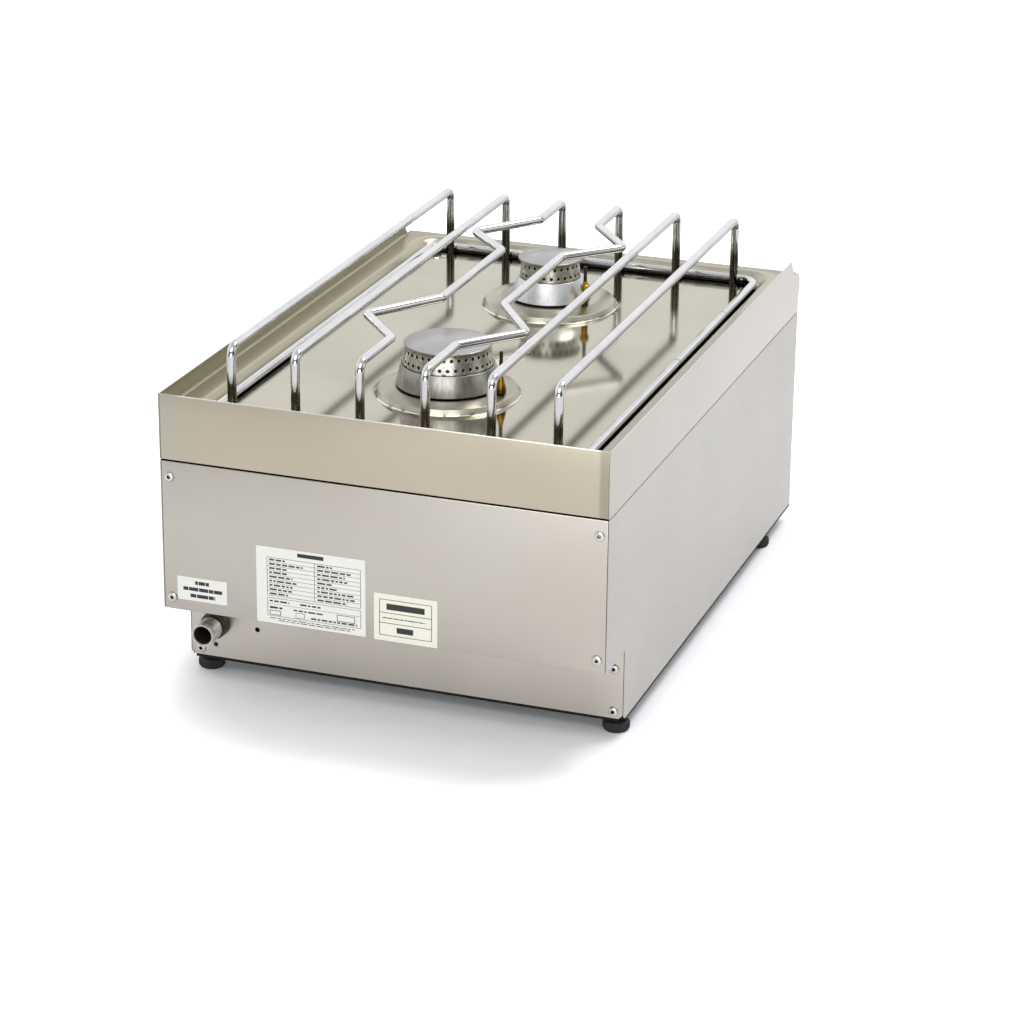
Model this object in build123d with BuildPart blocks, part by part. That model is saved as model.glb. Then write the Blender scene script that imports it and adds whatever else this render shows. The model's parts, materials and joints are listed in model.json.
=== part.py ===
from build123d import *
import math
import os

os.makedirs("parts", exist_ok=True)

# Two-burner table gas stove. The front faces -Y, the gas inlet is at the rear (+Y), Z is up.
# The origin is the centre of the bounding box, on the surface that the feet stand on.
# "Left" and "right" are as seen by someone who stands at the front. All sizes in millimetres.

# Casing
width = 400.0
depth = 600.0                # rear face to the nose of the worktop
under_gap = 17.0             # table to the underside of the casing
casing_top = 217.0           # seam between casing and worktop
step_height = 81.0           # underside of the upper rear panel
plinth_recess = 52.0         # lower rear panel, in front of the upper one
panel_t = 1.2
flange = 16.0
seam_gap = 0.1               # between two sheets that meet edge to face
corner_r = 5.0               # lower corners of the rear
fit_gap = 0.1                # a screw or stud in its hole, on the radius

# Worktop
sheet_t = 1.5
collar_top = 275.5
deck_z = 258.5
collar_front_top = 566.0     # from the rear face, where the side collars end
collar_front_foot = 577.0
nose_r = 12.5
nose_overhang = 3.5          # nose ahead of the control panel
well_depth = 9.0
well_margin_x = 22.0
well_margin_rear = 10.0
well_margin_front = 23.0
well_corner_r = 24.0
well_wall_run = 6.5          # how far the sloped wall of the well leans in
well_edge_r = 2.0

# Burner places, from the rear face
rear_burner_back = 161.0
front_burner_back = 435.0

# Raised rings pressed in the well, one under each burner
dome_outer_r = 64.0
dome_step_run = 3.5
dome_step_rise = 5.0
dome_crown_r = 46.5
dome_rise = 7.7
throat_hole_r = 20.0

# Burner heads: the body's skirt, the ring with its gas ports, the cap
skirt_lift = 2.6             # skirt above the raised ring
head_height = 17.6           # skirt bottom to the top of the body's rim
skirt_wall = 3.0
rim_wall = 1.3
seat_drop = 1.0
seat_width = 4.7
bowl_wall = 3.0
bowl_depth = 12.0
throat_r = 16.0
throat_bore_r = 12.0
ring_height = 17.6
ring_wall = 2.2
ring_clear = 0.4
ring_draft = 0.5             # the ring is this much narrower at its top
port_r = 1.25
port_low = 5.2               # above the ring's seat
port_high = 13.6
port_pitch = 6.7             # along the outside of the ring
cap_edge = 2.0
cap_crown = 3.2
cap_t = 2.5
lip_drop = 3.0
lip_t = 1.6
lip_clear = 0.4

# Mixing tubes and injectors
tube_axis_z = 219.0
tube_r = 13.0
tube_bore_r = 9.5
chamber_r = 19.0
chamber_floor = 4.0
chamber_bottom = 204.0
chamber_top = 244.0
throat_seat_z = 236.0        # where the burner's throat stands in the chamber
throat_clear = 0.15
shroud_r = 15.0
shroud_bore_r = 12.0
shroud_length = 30.0
shroud_wall = 4.0
tube_reach = 100.0           # burner axis to the front end of the tube
window_length = 16.0
window_height = 14.0
injector_af = 12.0
injector_head = 6.0
injector_r = 4.0
injector_nose = 9.0
injector_tail = 9.0

# Bridges that carry the burners
bridge_width = 40.0
bridge_height = 14.0
bridge_t = 1.5

# Gas pipework
pipe_r = 9.0
pipe_bore_r = 6.5
pipe_bend_r = 25.0
feed_r = 4.0
feed_bend_r = 12.0
lead_r = 1.1
lead_bend_r = 10.0
manifold_z = 105.0
manifold_left = -130.0
manifold_right = 140.0
inlet_x = 175.0
inlet_z = 49.0
inlet_mouth_back = 22.0      # from the rear face
inlet_thread_r = 10.48       # half-inch pipe thread, outside
inlet_thread_length = 22.0
inlet_bore_r = 8.3
inlet_collar_r = 12.8
inlet_inner = 14.0           # length behind the lower rear panel
locknut_af = 27.0
locknut_t = 6.0
rear_cross_back = 330.0      # where the rear burner's supply crosses to the middle

# Valves and knobs
knob_x = 90.0
knob_z = 140.0
valve_gap = 4.0              # control panel to the valve's neck
neck_r = 7.5
neck_length = 7.0
valve_r = 13.0
valve_length = 32.0
plug_start = 14.0            # front of the neck to the chamber of the plug
plug_r = 8.0
plug_length = 19.4
plug_end_gap = 0.3
run_clear = 0.05
spindle_r = 4.0
spindle_flat = 1.0
spindle_in_plug = 7.0
plug_socket = 12.5
magnet_r = 9.0
magnet_length = 18.0
boss_r = 7.0
boss_rise = 22.0
panel_hole_r = 9.0
knob_reach = 28.0            # control panel to the front of the knob
knob_gap = 6.5               # control panel to the back of the knob
knob_r = 24.0
knob_disc = 8.0
grip_width = 11.0
grip_length = 43.0
grip_taper = 5.0
index_width = 1.6
index_length = 12.0
index_depth = 0.6
bezel_r = 28.0
bezel_t = 1.5
clamp_t = 2.0
clamp_width = 20.0
clamp_half = 14.0

# Feet
foot_r = 11.0
foot_inset_x = 11.0
foot_back = 71.0
foot_front = 520.0
foot_ribs = 3
foot_groove = 1.0
bolt_r = 3.0
bolt_head_r = 5.2
bolt_head_h = 3.0
bolt_recess = 6.0
nut_af = 10.0
nut_h = 5.0

# Base pan
pan_lip = 12.0
vent_count = 6
vent_length = 120.0
vent_width = 8.0
vent_pitch = 40.0

# Pan support: six bent rods welded inside a frame of the same rod
rod_r = 4.0
rod_pitch = 58.0
rod_top_z = 313.9            # centre of the long rods above the table
rod_rear_back = 29.8
rod_front_back = 556.3
rod_bend_r = 9.0
jog_bend_r = 7.0
jog_out = 44.5
jog_rear = (102.0, 156.0, 223.0)
jog_front = (380.0, 429.0, 489.0)
weld_gap = 0.1
frame_half_x = 166.2
frame_corner_r = 16.0
frame_lift = 0.3

# Thermocouples, from the axis of their burner
rear_probe_dx = -50.5
rear_probe_dy = 5.0
front_probe_dx = -39.5
front_probe_dy = 15.0
probe_r = 1.6
probe_hole_r = 2.2
probe_tip = 37.0             # above the raised ring
gland_r = 4.5
gland_tip_r = 2.0
gland_h = 14.0
lead_level = 211.0
rear_lead_back = 505.0
front_lead_back = 480.0

# Screws
screw_r = 2.0
head_r = 4.3
head_h = 2.2
screw_length = 8.0
socket_af = 2.5
socket_depth = 1.4
rear_screw_inset = 8.5
rear_screw_low = 92.0
rear_screw_high = 202.0
plinth_screw_inset = 9.8
plinth_screw_low = 23.3
plinth_screw_high = 62.7
spare_hole_r = 2.25
spare_holes = ((176.0, 28.7), (136.0, 48.6))

# Blank plates on the rear panel: centre x, centre z, width, height
plate_t = 0.3
main_plate = (62.8, 116.5, 99.5, 69.5)
small_plate = (163.4, 102.0, 46.4, 21.5)
cream_plate = (-22.9, 102.6, 57.0, 42.5)

# Places worked out from the sizes above
rear_y = (depth - nose_overhang + knob_reach - head_h) / 2
nose_y = rear_y - depth
control_y = nose_y + nose_overhang
plinth_y = rear_y - plinth_recess
floor_z = deck_z - well_depth
dome_top = floor_z + dome_rise
skirt_z = dome_top + skirt_lift
rim_z = skirt_z + head_height
seat_z = rim_z - seat_drop
ring_top = seat_z + ring_height
inside_x = width / 2 - panel_t
valve_mid = valve_gap + neck_length + valve_length / 2


def back(distance):
    """Y of a point this far in front of the rear face."""
    return rear_y - distance


def behind(distance):
    """Y of a point this far behind the face of the control panel."""
    return control_y + distance


def facing_front(x, y, z):
    """Plane that looks to the front: its x is X, its y is Z, it extrudes towards -Y."""
    return Plane(origin=(x, y, z), x_dir=(1, 0, 0), z_dir=(0, -1, 0))


def upright(x, y):
    """Vertical plane through an upright axis: its x is the radius, its y is Z."""
    return Plane(origin=(x, y, 0), x_dir=(1, 0, 0), z_dir=(0, -1, 0))


def along(x, z):
    """Plane through an axis that runs from front to rear: its x is Y, its y is the radius."""
    return Plane(origin=(x, 0, z), x_dir=(0, 1, 0), z_dir=(1, 0, 0))


def finish(builder, name):
    builder.part.label = name
    export_step(builder.part, f"parts/{name}.step")


def crown_radius(half_width, rise):
    """Radius of a spherical crown that has its centre on the axis."""
    return (half_width**2 + rise**2) / (2 * rise)


def section_start(line):
    """Plane square to the start of a route."""
    return Plane(origin=line @ 0, z_dir=line % 0)


# Worktop: collar on three sides, deck with a pressed well, rounded nose, two raised rings
well_rear = back(well_margin_rear)
well_front = nose_y + well_margin_front
well_mid = (well_rear + well_front) / 2
well_w = width - 2 * well_margin_x
well_l = well_rear - well_front
well_taper = math.degrees(math.atan(well_wall_run / well_depth))
burner_places = {"rear": back(rear_burner_back), "front": back(front_burner_back)}
probe_places = {
    "rear": (rear_probe_dx, burner_places["rear"] + rear_probe_dy),
    "front": (front_probe_dx, burner_places["front"] + front_probe_dy),
}


def nose_point(radius, turn):
    """Point of the nose's section; turn is in degrees, 90 is the top and 180 the front."""
    angle = math.radians(turn)
    across = nose_y + nose_r + radius * math.cos(angle)
    return (across, deck_z - nose_r + radius * math.sin(angle))


def worktop_section(inset, top, foot_z):
    """Closed section of the worktop, its walls moved inwards by inset."""
    radius = nose_r - inset
    foot_turn = 180 + math.degrees(math.acos((nose_r - nose_overhang - inset) / radius))
    shoulder = nose_point(radius, 90)
    foot = nose_point(radius, foot_turn)
    ThreePointArc(shoulder, nose_point(radius, 150), foot)
    Polyline(shoulder, *top, (control_y + inset, foot_z), foot)


with BuildPart() as worktop:
    with BuildSketch(Plane.YZ.offset(-width / 2)):
        with BuildLine():
            collar = (
                (back(collar_front_foot), deck_z),
                (back(collar_front_top), collar_top),
                (rear_y, collar_top),
                (rear_y, casing_top),
            )
            worktop_section(0, collar, casing_top)
        make_face()
    extrude(amount=width)
    with BuildSketch(Plane.XY.offset(deck_z)):
        with Locations((0, back(sheet_t) - depth / 2)):
            Rectangle(width - 2 * sheet_t, depth)
    extrude(amount=collar_top - deck_z, mode=Mode.SUBTRACT)
    with BuildSketch(Plane.YZ.offset(-width / 2 + sheet_t)):
        with BuildLine():
            inner = ((back(sheet_t), deck_z - sheet_t), (back(sheet_t), casing_top - 1))
            worktop_section(sheet_t, inner, casing_top - 1)
        make_face()
    extrude(amount=width - 2 * sheet_t, mode=Mode.SUBTRACT)
    with BuildSketch(Plane.XY.offset(deck_z - sheet_t)):
        with Locations((0, well_mid)):
            RectangleRounded(well_w + 2 * sheet_t, well_l + 2 * sheet_t, well_corner_r + sheet_t)
    extrude(amount=-well_depth, taper=well_taper)
    with BuildSketch(Plane.XY.offset(deck_z)):
        with Locations((0, well_mid)):
            RectangleRounded(well_w, well_l, well_corner_r)
    extrude(amount=-well_depth, taper=well_taper, mode=Mode.SUBTRACT)
    well_edges = worktop.edges().filter_by_position(Axis.Z, deck_z, deck_z)
    well_edges = well_edges.filter_by(lambda e: abs(e.center().X) < well_w / 2 + 1)
    well_edges = well_edges.filter_by(lambda e: abs(e.center().Y - well_mid) < well_l / 2 + 1)
    fillet(well_edges, radius=well_edge_r)
    for name, burner_y in burner_places.items():
        with BuildSketch(Plane.XY.offset(floor_z)):
            with Locations((0, burner_y)):
                Circle(dome_outer_r)
        extrude(amount=-2 * sheet_t, mode=Mode.SUBTRACT)
        crest = (dome_outer_r - dome_step_run, floor_z + dome_step_rise)
        with BuildSketch(upright(0, burner_y)):
            with BuildLine():
                Polyline(
                    (dome_outer_r, floor_z - sheet_t),
                    (dome_outer_r, floor_z),
                    crest,
                    (dome_crown_r, dome_top),
                    (throat_hole_r, dome_top),
                    (throat_hole_r, dome_top - sheet_t),
                    (dome_crown_r, dome_top - sheet_t),
                    (crest[0] - sheet_t / 2, crest[1] - sheet_t),
                    (dome_outer_r - sheet_t, floor_z - sheet_t),
                    close=True,
                )
            make_face()
        revolve(axis=Axis((0, burner_y, 0), (0, 0, 1)))
        with Locations((*probe_places[name], dome_top)):
            Hole(probe_hole_r, depth=4 * sheet_t)
finish(worktop, "worktop")

# Side panels: one folded sheet each, notched at the lower rear where the pipe connects
screw_rows = {
    "rear": (rear_y, rear_screw_inset, (rear_screw_low, rear_screw_high)),
    "plinth": (plinth_y, plinth_screw_inset, (plinth_screw_low, plinth_screw_high)),
}


def screw_spots(row, side):
    y, inset, heights = screw_rows[row]
    return [(side * (width / 2 - inset), y, z) for z in heights]


for name, side in (("left_side_panel", -1), ("right_side_panel", 1)):
    with BuildPart() as side_panel:
        outer_x = side * width / 2
        with BuildSketch(Plane.YZ.offset(outer_x)):
            with BuildLine():
                Polyline(
                    (control_y, under_gap),
                    (plinth_y - corner_r, under_gap),
                    (plinth_y, under_gap + corner_r),
                    (plinth_y, step_height),
                    (rear_y, step_height),
                    (rear_y, casing_top),
                    (control_y, casing_top),
                    close=True,
                )
            make_face()
        extrude(amount=-side * panel_t)
        flange_x = side * (inside_x - flange / 2)
        top_y = (back(2 * panel_t) + behind(flange + 3 * panel_t)) / 2
        top_l = back(2 * panel_t) - behind(flange + 3 * panel_t)
        with BuildSketch(Plane.XY.offset(casing_top)):
            with Locations((flange_x, top_y)):
                Rectangle(flange, top_l)
        extrude(amount=-panel_t)
        low_l = plinth_y - corner_r - behind(flange + 3 * panel_t)
        with BuildSketch(Plane.XY.offset(under_gap)):
            with Locations((flange_x, plinth_y - corner_r - low_l / 2)):
                Rectangle(flange, low_l)
        extrude(amount=panel_t)
        upper_h = casing_top - step_height - panel_t - seam_gap
        with BuildSketch(facing_front(flange_x, back(panel_t), casing_top - upper_h / 2)):
            Rectangle(flange, upper_h)
        extrude(amount=panel_t)
        lower_h = step_height - seam_gap - under_gap - corner_r
        with BuildSketch(facing_front(flange_x, plinth_y - panel_t, step_height - seam_gap - lower_h / 2)):
            Rectangle(flange, lower_h)
        extrude(amount=panel_t)
        for row in screw_rows:
            for x, y, z in screw_spots(row, side):
                with BuildSketch(facing_front(x, y, z)):
                    Circle(screw_r + fit_gap)
                extrude(amount=flange / 2, mode=Mode.SUBTRACT)
        if side > 0:
            with BuildSketch(facing_front(inlet_x, plinth_y, inlet_z)):
                Circle(inlet_thread_r + fit_gap)
            extrude(amount=flange / 2, mode=Mode.SUBTRACT)
        for foot_y in (back(foot_back), back(foot_front)):
            with Locations((side * (width / 2 - foot_inset_x), foot_y, under_gap)):
                Cylinder(bolt_r + fit_gap, 3 * panel_t, mode=Mode.SUBTRACT)
    finish(side_panel, name)

# Upper rear panel: flat sheet with a shelf folded forward over the pipe recess
sheet_half = inside_x - seam_gap
with BuildPart() as rear_panel:
    with BuildSketch(Plane.YZ.offset(-sheet_half)):
        with BuildLine():
            Polyline(
                (rear_y, casing_top),
                (rear_y, step_height + panel_t),
                (rear_y - panel_t, step_height),
                (plinth_y - panel_t, step_height),
                (plinth_y - panel_t, step_height + panel_t),
                (rear_y - panel_t, step_height + panel_t),
                (rear_y - panel_t, casing_top),
                close=True,
            )
        make_face()
    extrude(amount=2 * sheet_half)
    for side in (-1, 1):
        for x, y, z in screw_spots("rear", side):
            with BuildSketch(facing_front(x, y, z)):
                Circle(screw_r + fit_gap)
            extrude(amount=2 * panel_t, mode=Mode.SUBTRACT)
finish(rear_panel, "rear_panel")

# Lower rear panel, set back, with the hole for the gas inlet and two spare fixing holes
with BuildPart() as plinth_panel:
    plinth_mid = (step_height + under_gap) / 2
    with BuildSketch(facing_front(0, plinth_y, plinth_mid)):
        Rectangle(2 * sheet_half, step_height - under_gap)
    extrude(amount=panel_t)
    lower_corners = plinth_panel.edges().filter_by(Axis.Y).group_by(Axis.Z)[0]
    chamfer(lower_corners, length=corner_r - panel_t)
    for side in (-1, 1):
        for x, y, z in screw_spots("plinth", side):
            with BuildSketch(facing_front(x, y, z)):
                Circle(screw_r + fit_gap)
            extrude(amount=2 * panel_t, mode=Mode.SUBTRACT)
    for x, z in spare_holes:
        with BuildSketch(facing_front(x, plinth_y, z)):
            Circle(spare_hole_r)
        extrude(amount=2 * panel_t, mode=Mode.SUBTRACT)
    with BuildSketch(facing_front(inlet_x, plinth_y, inlet_z)):
        Circle(inlet_thread_r + fit_gap)
    extrude(amount=2 * panel_t, mode=Mode.SUBTRACT)
finish(plinth_panel, "plinth_panel")

# Control panel: the front sheet, folded back along its top and bottom
with BuildPart() as control_panel:
    return_half = inside_x - flange - seam_gap
    with BuildSketch(Plane.XZ.offset(-control_y)):
        with Locations((0, (casing_top + under_gap) / 2)):
            Rectangle(2 * sheet_half, casing_top - under_gap)
    extrude(amount=-panel_t)
    for low in (under_gap, casing_top - panel_t):
        with Locations((0, behind(flange / 2), low + panel_t / 2)):
            Box(2 * return_half, flange, panel_t)
    for side in (-1, 1):
        with BuildSketch(facing_front(side * knob_x, control_y, knob_z)):
            Circle(panel_hole_r)
        extrude(amount=-2 * panel_t, mode=Mode.SUBTRACT)
finish(control_panel, "control_panel")

# Base pan: tray on the lower flanges, with slots for the burners' air
pan_z = under_gap + panel_t
pan_front = behind(panel_t + seam_gap)
pan_rear = plinth_y - screw_length - seam_gap
pan_mid = (pan_front + pan_rear) / 2
pan_l = pan_rear - pan_front
with BuildPart() as base_pan:
    with Locations((0, pan_mid, pan_z + pan_lip / 2)):
        Box(2 * sheet_half, pan_l, pan_lip)
    with Locations((0, pan_mid, pan_z + panel_t + pan_lip / 2)):
        Box(2 * sheet_half - 2 * panel_t, pan_l - 2 * panel_t, pan_lip, mode=Mode.SUBTRACT)
    with BuildSketch(Plane.XY.offset(pan_z)):
        with Locations((0, pan_mid)):
            with GridLocations(0, vent_pitch, 1, vent_count):
                SlotOverall(vent_length, vent_width)
    extrude(amount=2 * panel_t, mode=Mode.SUBTRACT)
    for side in (-1, 1):
        for foot_y in (back(foot_back), back(foot_front)):
            with Locations((side * (width / 2 - foot_inset_x), foot_y, pan_z)):
                Cylinder(bolt_r + fit_gap, 3 * panel_t, mode=Mode.SUBTRACT)
finish(base_pan, "base_pan")

# Feet: ribbed rubber discs, each with a recessed bolt
feet = {
    "rear_left_foot": (-1, foot_back),
    "rear_right_foot": (1, foot_back),
    "front_left_foot": (-1, foot_front),
    "front_right_foot": (1, foot_front),
}
rib_pitch = under_gap / foot_ribs
for name, (side, distance) in feet.items():
    foot_x = side * (width / 2 - foot_inset_x)
    foot_y = back(distance)
    with BuildPart() as foot:
        with BuildSketch(upright(foot_x, foot_y)):
            with BuildLine():
                rim = []
                for rib in range(foot_ribs):
                    low = rib * rib_pitch
                    shrink = foot_groove if rib == 0 else foot_groove / 2
                    rim.append((foot_r - shrink, low))
                    rim.append((foot_r, low + rib_pitch * 0.35))
                    rim.append((foot_r, low + rib_pitch * 0.7))
                    rim.append((foot_r - foot_groove, low + rib_pitch))
                Polyline(
                    (bolt_head_r + fit_gap, 0),
                    *rim,
                    (bolt_r + fit_gap, under_gap),
                    (bolt_r + fit_gap, bolt_recess),
                    (bolt_head_r + fit_gap, bolt_recess),
                    close=True,
                )
            make_face()
        revolve(axis=Axis((foot_x, foot_y, 0), (0, 0, 1)))
    finish(foot, name)

with BuildPart() as foot_bolts:
    nut_z = pan_z + panel_t
    for side, distance in feet.values():
        spot = (side * (width / 2 - foot_inset_x), back(distance))
        with BuildSketch(Plane.XY.offset(bolt_recess - bolt_head_h)):
            with Locations(spot):
                Circle(bolt_head_r)
        extrude(amount=bolt_head_h)
        with BuildSketch(Plane.XY.offset(bolt_recess)):
            with Locations(spot):
                Circle(bolt_r)
        extrude(amount=nut_z + nut_h + bolt_r - bolt_recess)
        with BuildSketch(Plane.XY.offset(nut_z)):
            with Locations(spot):
                RegularPolygon(nut_af / 2, 6, major_radius=False)
        extrude(amount=nut_h)
finish(foot_bolts, "foot_bolts")

# Button-head screws of the two rear panels
for row in screw_rows:
    with BuildPart() as screws:
        for side in (-1, 1):
            for x, y, z in screw_spots(row, side):
                with BuildSketch(Plane(origin=(x, y, z), x_dir=(1, 0, 0), z_dir=(0, 0, 1))):
                    with BuildLine():
                        Line((0, -screw_length), (screw_r, -screw_length))
                        Line((screw_r, -screw_length), (screw_r, 0))
                        Line((screw_r, 0), (head_r, 0))
                        RadiusArc((head_r, 0), (0, head_h), -crown_radius(head_r, head_h))
                        Line((0, head_h), (0, -screw_length))
                    make_face()
                revolve(axis=Axis((x, y, z), (0, 1, 0)))
                with BuildSketch(facing_front(x, y + head_h, z)):
                    RegularPolygon(socket_af / 2, 6, major_radius=False)
                extrude(amount=socket_depth, mode=Mode.SUBTRACT)
    finish(screws, f"{row}_panel_screws")

# Blank plates stuck on the upper rear panel
plates = {"rating_plate": main_plate, "gas_label": small_plate, "inspection_label": cream_plate}
for name, (x, z, plate_w, plate_h) in plates.items():
    with BuildPart() as plate:
        with BuildSketch(facing_front(x, rear_y + plate_t, z)):
            Rectangle(plate_w, plate_h)
        extrude(amount=plate_t)
    finish(plate, name)

# Burners. Each has a hollow skirted body, a ring with two rows of ports and a domed cap.
burners = {
    "rear": {"y": burner_places["rear"], "ring": 38.6, "cap": 38.9, "top": 40.8, "foot": 45.4},
    "front": {"y": burner_places["front"], "ring": 27.9, "cap": 30.3, "top": 31.0, "foot": 36.6},
}
for name, size in burners.items():
    y = size["y"]
    ring_r = size["ring"]
    cap_r = size["cap"]
    top_r = size["top"]
    foot_skirt_r = size["foot"]
    bowl_r = ring_r - seat_width
    bowl_z = seat_z - bowl_depth
    axis = Axis((0, y, 0), (0, 0, 1))

    # Body: outer cone, ring seat, bowl and the throat that goes down through the worktop
    with BuildPart() as body:
        with BuildSketch(upright(0, y)):
            with BuildLine():
                Polyline(
                    (foot_skirt_r, skirt_z),
                    (top_r, rim_z),
                    (top_r - rim_wall, rim_z),
                    (top_r - rim_wall, seat_z),
                    (bowl_r, seat_z),
                    (bowl_r, bowl_z + bowl_wall),
                    (throat_bore_r, bowl_z),
                    (throat_bore_r, throat_seat_z),
                    (throat_r, throat_seat_z),
                    (throat_r, bowl_z - bowl_wall - 1),
                    (bowl_r + bowl_wall, bowl_z - 1),
                    (bowl_r + bowl_wall, seat_z - 2 * bowl_wall),
                    (top_r - skirt_wall, seat_z - 2 * bowl_wall),
                    (foot_skirt_r - skirt_wall, skirt_z),
                    close=True,
                )
            make_face()
        revolve(axis=axis)
    finish(body, f"{name}_burner_body")

    # Ring: thin upright wall with two rows of round ports and a lip that centres it
    with BuildPart() as ring:
        lip_r = bowl_r - lip_clear
        with BuildSketch(upright(0, y)):
            with BuildLine():
                Polyline(
                    (ring_r, seat_z),
                    (ring_r - ring_draft, ring_top),
                    (ring_r - ring_wall, ring_top),
                    (ring_r - ring_wall, seat_z + ring_wall),
                    (lip_r - lip_t, seat_z + ring_wall),
                    (lip_r - lip_t, seat_z - lip_drop),
                    (lip_r, seat_z - lip_drop),
                    (lip_r, seat_z),
                    close=True,
                )
            make_face()
        revolve(axis=axis)
        ports = round(2 * math.pi * ring_r / port_pitch)
        for row, port_z in enumerate((port_low, port_high)):
            turn = math.pi / ports * row
            for port in range(ports):
                angle = 2 * math.pi * port / ports + turn
                outward = (math.cos(angle), math.sin(angle), 0)
                middle = (ring_r * outward[0], y + ring_r * outward[1], seat_z + port_z)
                with BuildSketch(Plane(origin=middle, z_dir=outward)):
                    Circle(port_r)
                extrude(amount=2 * ring_wall, both=True, mode=Mode.SUBTRACT)
    finish(ring, f"{name}_flame_ring")

    # Cap: domed disc with a lip inside the ring
    with BuildPart() as cap:
        cap_lip_r = ring_r - ring_wall - lip_clear
        cap_top = ring_top + cap_edge + cap_crown
        with BuildSketch(upright(0, y)):
            with BuildLine():
                Polyline(
                    (0, cap_top - cap_t),
                    (cap_lip_r - lip_t, ring_top),
                    (cap_lip_r - lip_t, ring_top - lip_drop),
                    (cap_lip_r, ring_top - lip_drop),
                    (cap_lip_r, ring_top),
                    (cap_r, ring_top),
                    (cap_r, ring_top + cap_edge),
                )
                RadiusArc((cap_r, ring_top + cap_edge), (0, cap_top), -crown_radius(cap_r, cap_crown))
                Line((0, cap_top), (0, cap_top - cap_t))
            make_face()
        revolve(axis=axis)
    finish(cap, f"{name}_burner_cap")

    # Mixing tube: upright chamber and a tube to the front, open at its sides for air
    tube_end = y - tube_reach
    with BuildPart() as mixing_tube:
        with BuildSketch(Plane.XY.offset(chamber_bottom)):
            with Locations((0, y)):
                Circle(chamber_r)
        extrude(amount=chamber_top - chamber_bottom)
        with BuildSketch(facing_front(0, y, tube_axis_z)):
            Circle(tube_r)
        extrude(amount=tube_reach - shroud_length)
        with BuildSketch(facing_front(0, tube_end + shroud_length, tube_axis_z)):
            Circle(shroud_r)
        extrude(amount=shroud_length)
        with BuildSketch(Plane.XY.offset(chamber_bottom + chamber_floor)):
            with Locations((0, y)):
                Circle(throat_bore_r)
        extrude(amount=chamber_top, mode=Mode.SUBTRACT)
        with BuildSketch(Plane.XY.offset(throat_seat_z)):
            with Locations((0, y)):
                Circle(throat_r + throat_clear)
        extrude(amount=chamber_top, mode=Mode.SUBTRACT)
        with BuildSketch(facing_front(0, y, tube_axis_z)):
            Circle(tube_bore_r)
        extrude(amount=tube_reach - shroud_length / 2, mode=Mode.SUBTRACT)
        with BuildSketch(facing_front(0, tube_end + shroud_length - shroud_wall, tube_axis_z)):
            Circle(shroud_bore_r)
        extrude(amount=shroud_length - 2 * shroud_wall, mode=Mode.SUBTRACT)
        with BuildSketch(facing_front(0, tube_end + shroud_wall, tube_axis_z)):
            Circle(injector_r + fit_gap)
        extrude(amount=2 * shroud_wall, mode=Mode.SUBTRACT)
        with Locations((0, tube_end + shroud_length / 2, tube_axis_z)):
            Box(3 * shroud_r, window_length, window_height, mode=Mode.SUBTRACT)
    finish(mixing_tube, f"{name}_mixing_tube")

    # Injector: hexagonal brass body with a nozzle that points into the tube
    with BuildPart() as injector:
        with BuildSketch(facing_front(0, tube_end, tube_axis_z)):
            RegularPolygon(injector_af / 2, 6, major_radius=False)
        extrude(amount=injector_head)
        with BuildSketch(along(0, tube_axis_z)):
            with BuildLine():
                tip = tube_end + shroud_wall + injector_nose
                Polyline(
                    (tube_end - injector_head - injector_tail, 0),
                    (tube_end - injector_head - injector_tail, feed_r + 1),
                    (tube_end - injector_head, feed_r + 1),
                    (tube_end - injector_head, injector_r),
                    (tip - injector_nose / 2, injector_r),
                    (tip, injector_r / 2),
                    (tip, 0),
                    close=True,
                )
            make_face()
        revolve(axis=Axis((0, 0, tube_axis_z), (0, 1, 0)))
    finish(injector, f"{name}_injector")

    # Bridge: channel from side to side that the mixing tube stands on
    with BuildPart() as bridge:
        bridge_low = chamber_bottom - bridge_height
        with Locations((0, y, bridge_low + bridge_height / 2)):
            Box(2 * (inside_x - seam_gap), bridge_width, bridge_height)
        with Locations((0, y, bridge_low + (bridge_height - bridge_t) / 2)):
            Box(width, bridge_width - 2 * bridge_t, bridge_height - bridge_t, mode=Mode.SUBTRACT)
    finish(bridge, f"{name}_bridge")

    # Thermocouple: probe beside the burner, with its lead to the safety magnet of the valve
    probe_x, probe_y = probe_places[name]
    valve_x = -knob_x if name == "rear" else knob_x
    lead_back = back(rear_lead_back if name == "rear" else front_lead_back)
    magnet_y = behind(valve_gap + neck_length + valve_length + magnet_length)
    with BuildPart() as thermocouple:
        with BuildSketch(Plane.XY.offset(dome_top)):
            with Locations((probe_x, probe_y)):
                Circle(probe_r)
        extrude(amount=probe_tip)
        with BuildLine() as lead:
            FilletPolyline(
                (probe_x, probe_y, dome_top),
                (probe_x, probe_y, lead_level),
                (probe_x, lead_back, lead_level),
                (valve_x, lead_back, knob_z),
                (valve_x, magnet_y, knob_z),
                radius=lead_bend_r,
            )
        with BuildSketch(section_start(lead.line)):
            Circle(lead_r)
        sweep(path=lead.line)
    finish(thermocouple, f"{name}_thermocouple")

    # Brass gland that holds the probe on the raised ring
    with BuildPart() as gland:
        with BuildSketch(upright(probe_x, probe_y)):
            with BuildLine():
                Polyline(
                    (probe_r + run_clear, dome_top),
                    (gland_r, dome_top),
                    (gland_r, dome_top + gland_h / 4),
                    (gland_tip_r, dome_top + gland_h),
                    (probe_r + run_clear, dome_top + gland_h),
                    close=True,
                )
            make_face()
        revolve(axis=Axis((probe_x, probe_y, 0), (0, 0, 1)))
    finish(gland, f"{name}_probe_gland")

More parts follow.
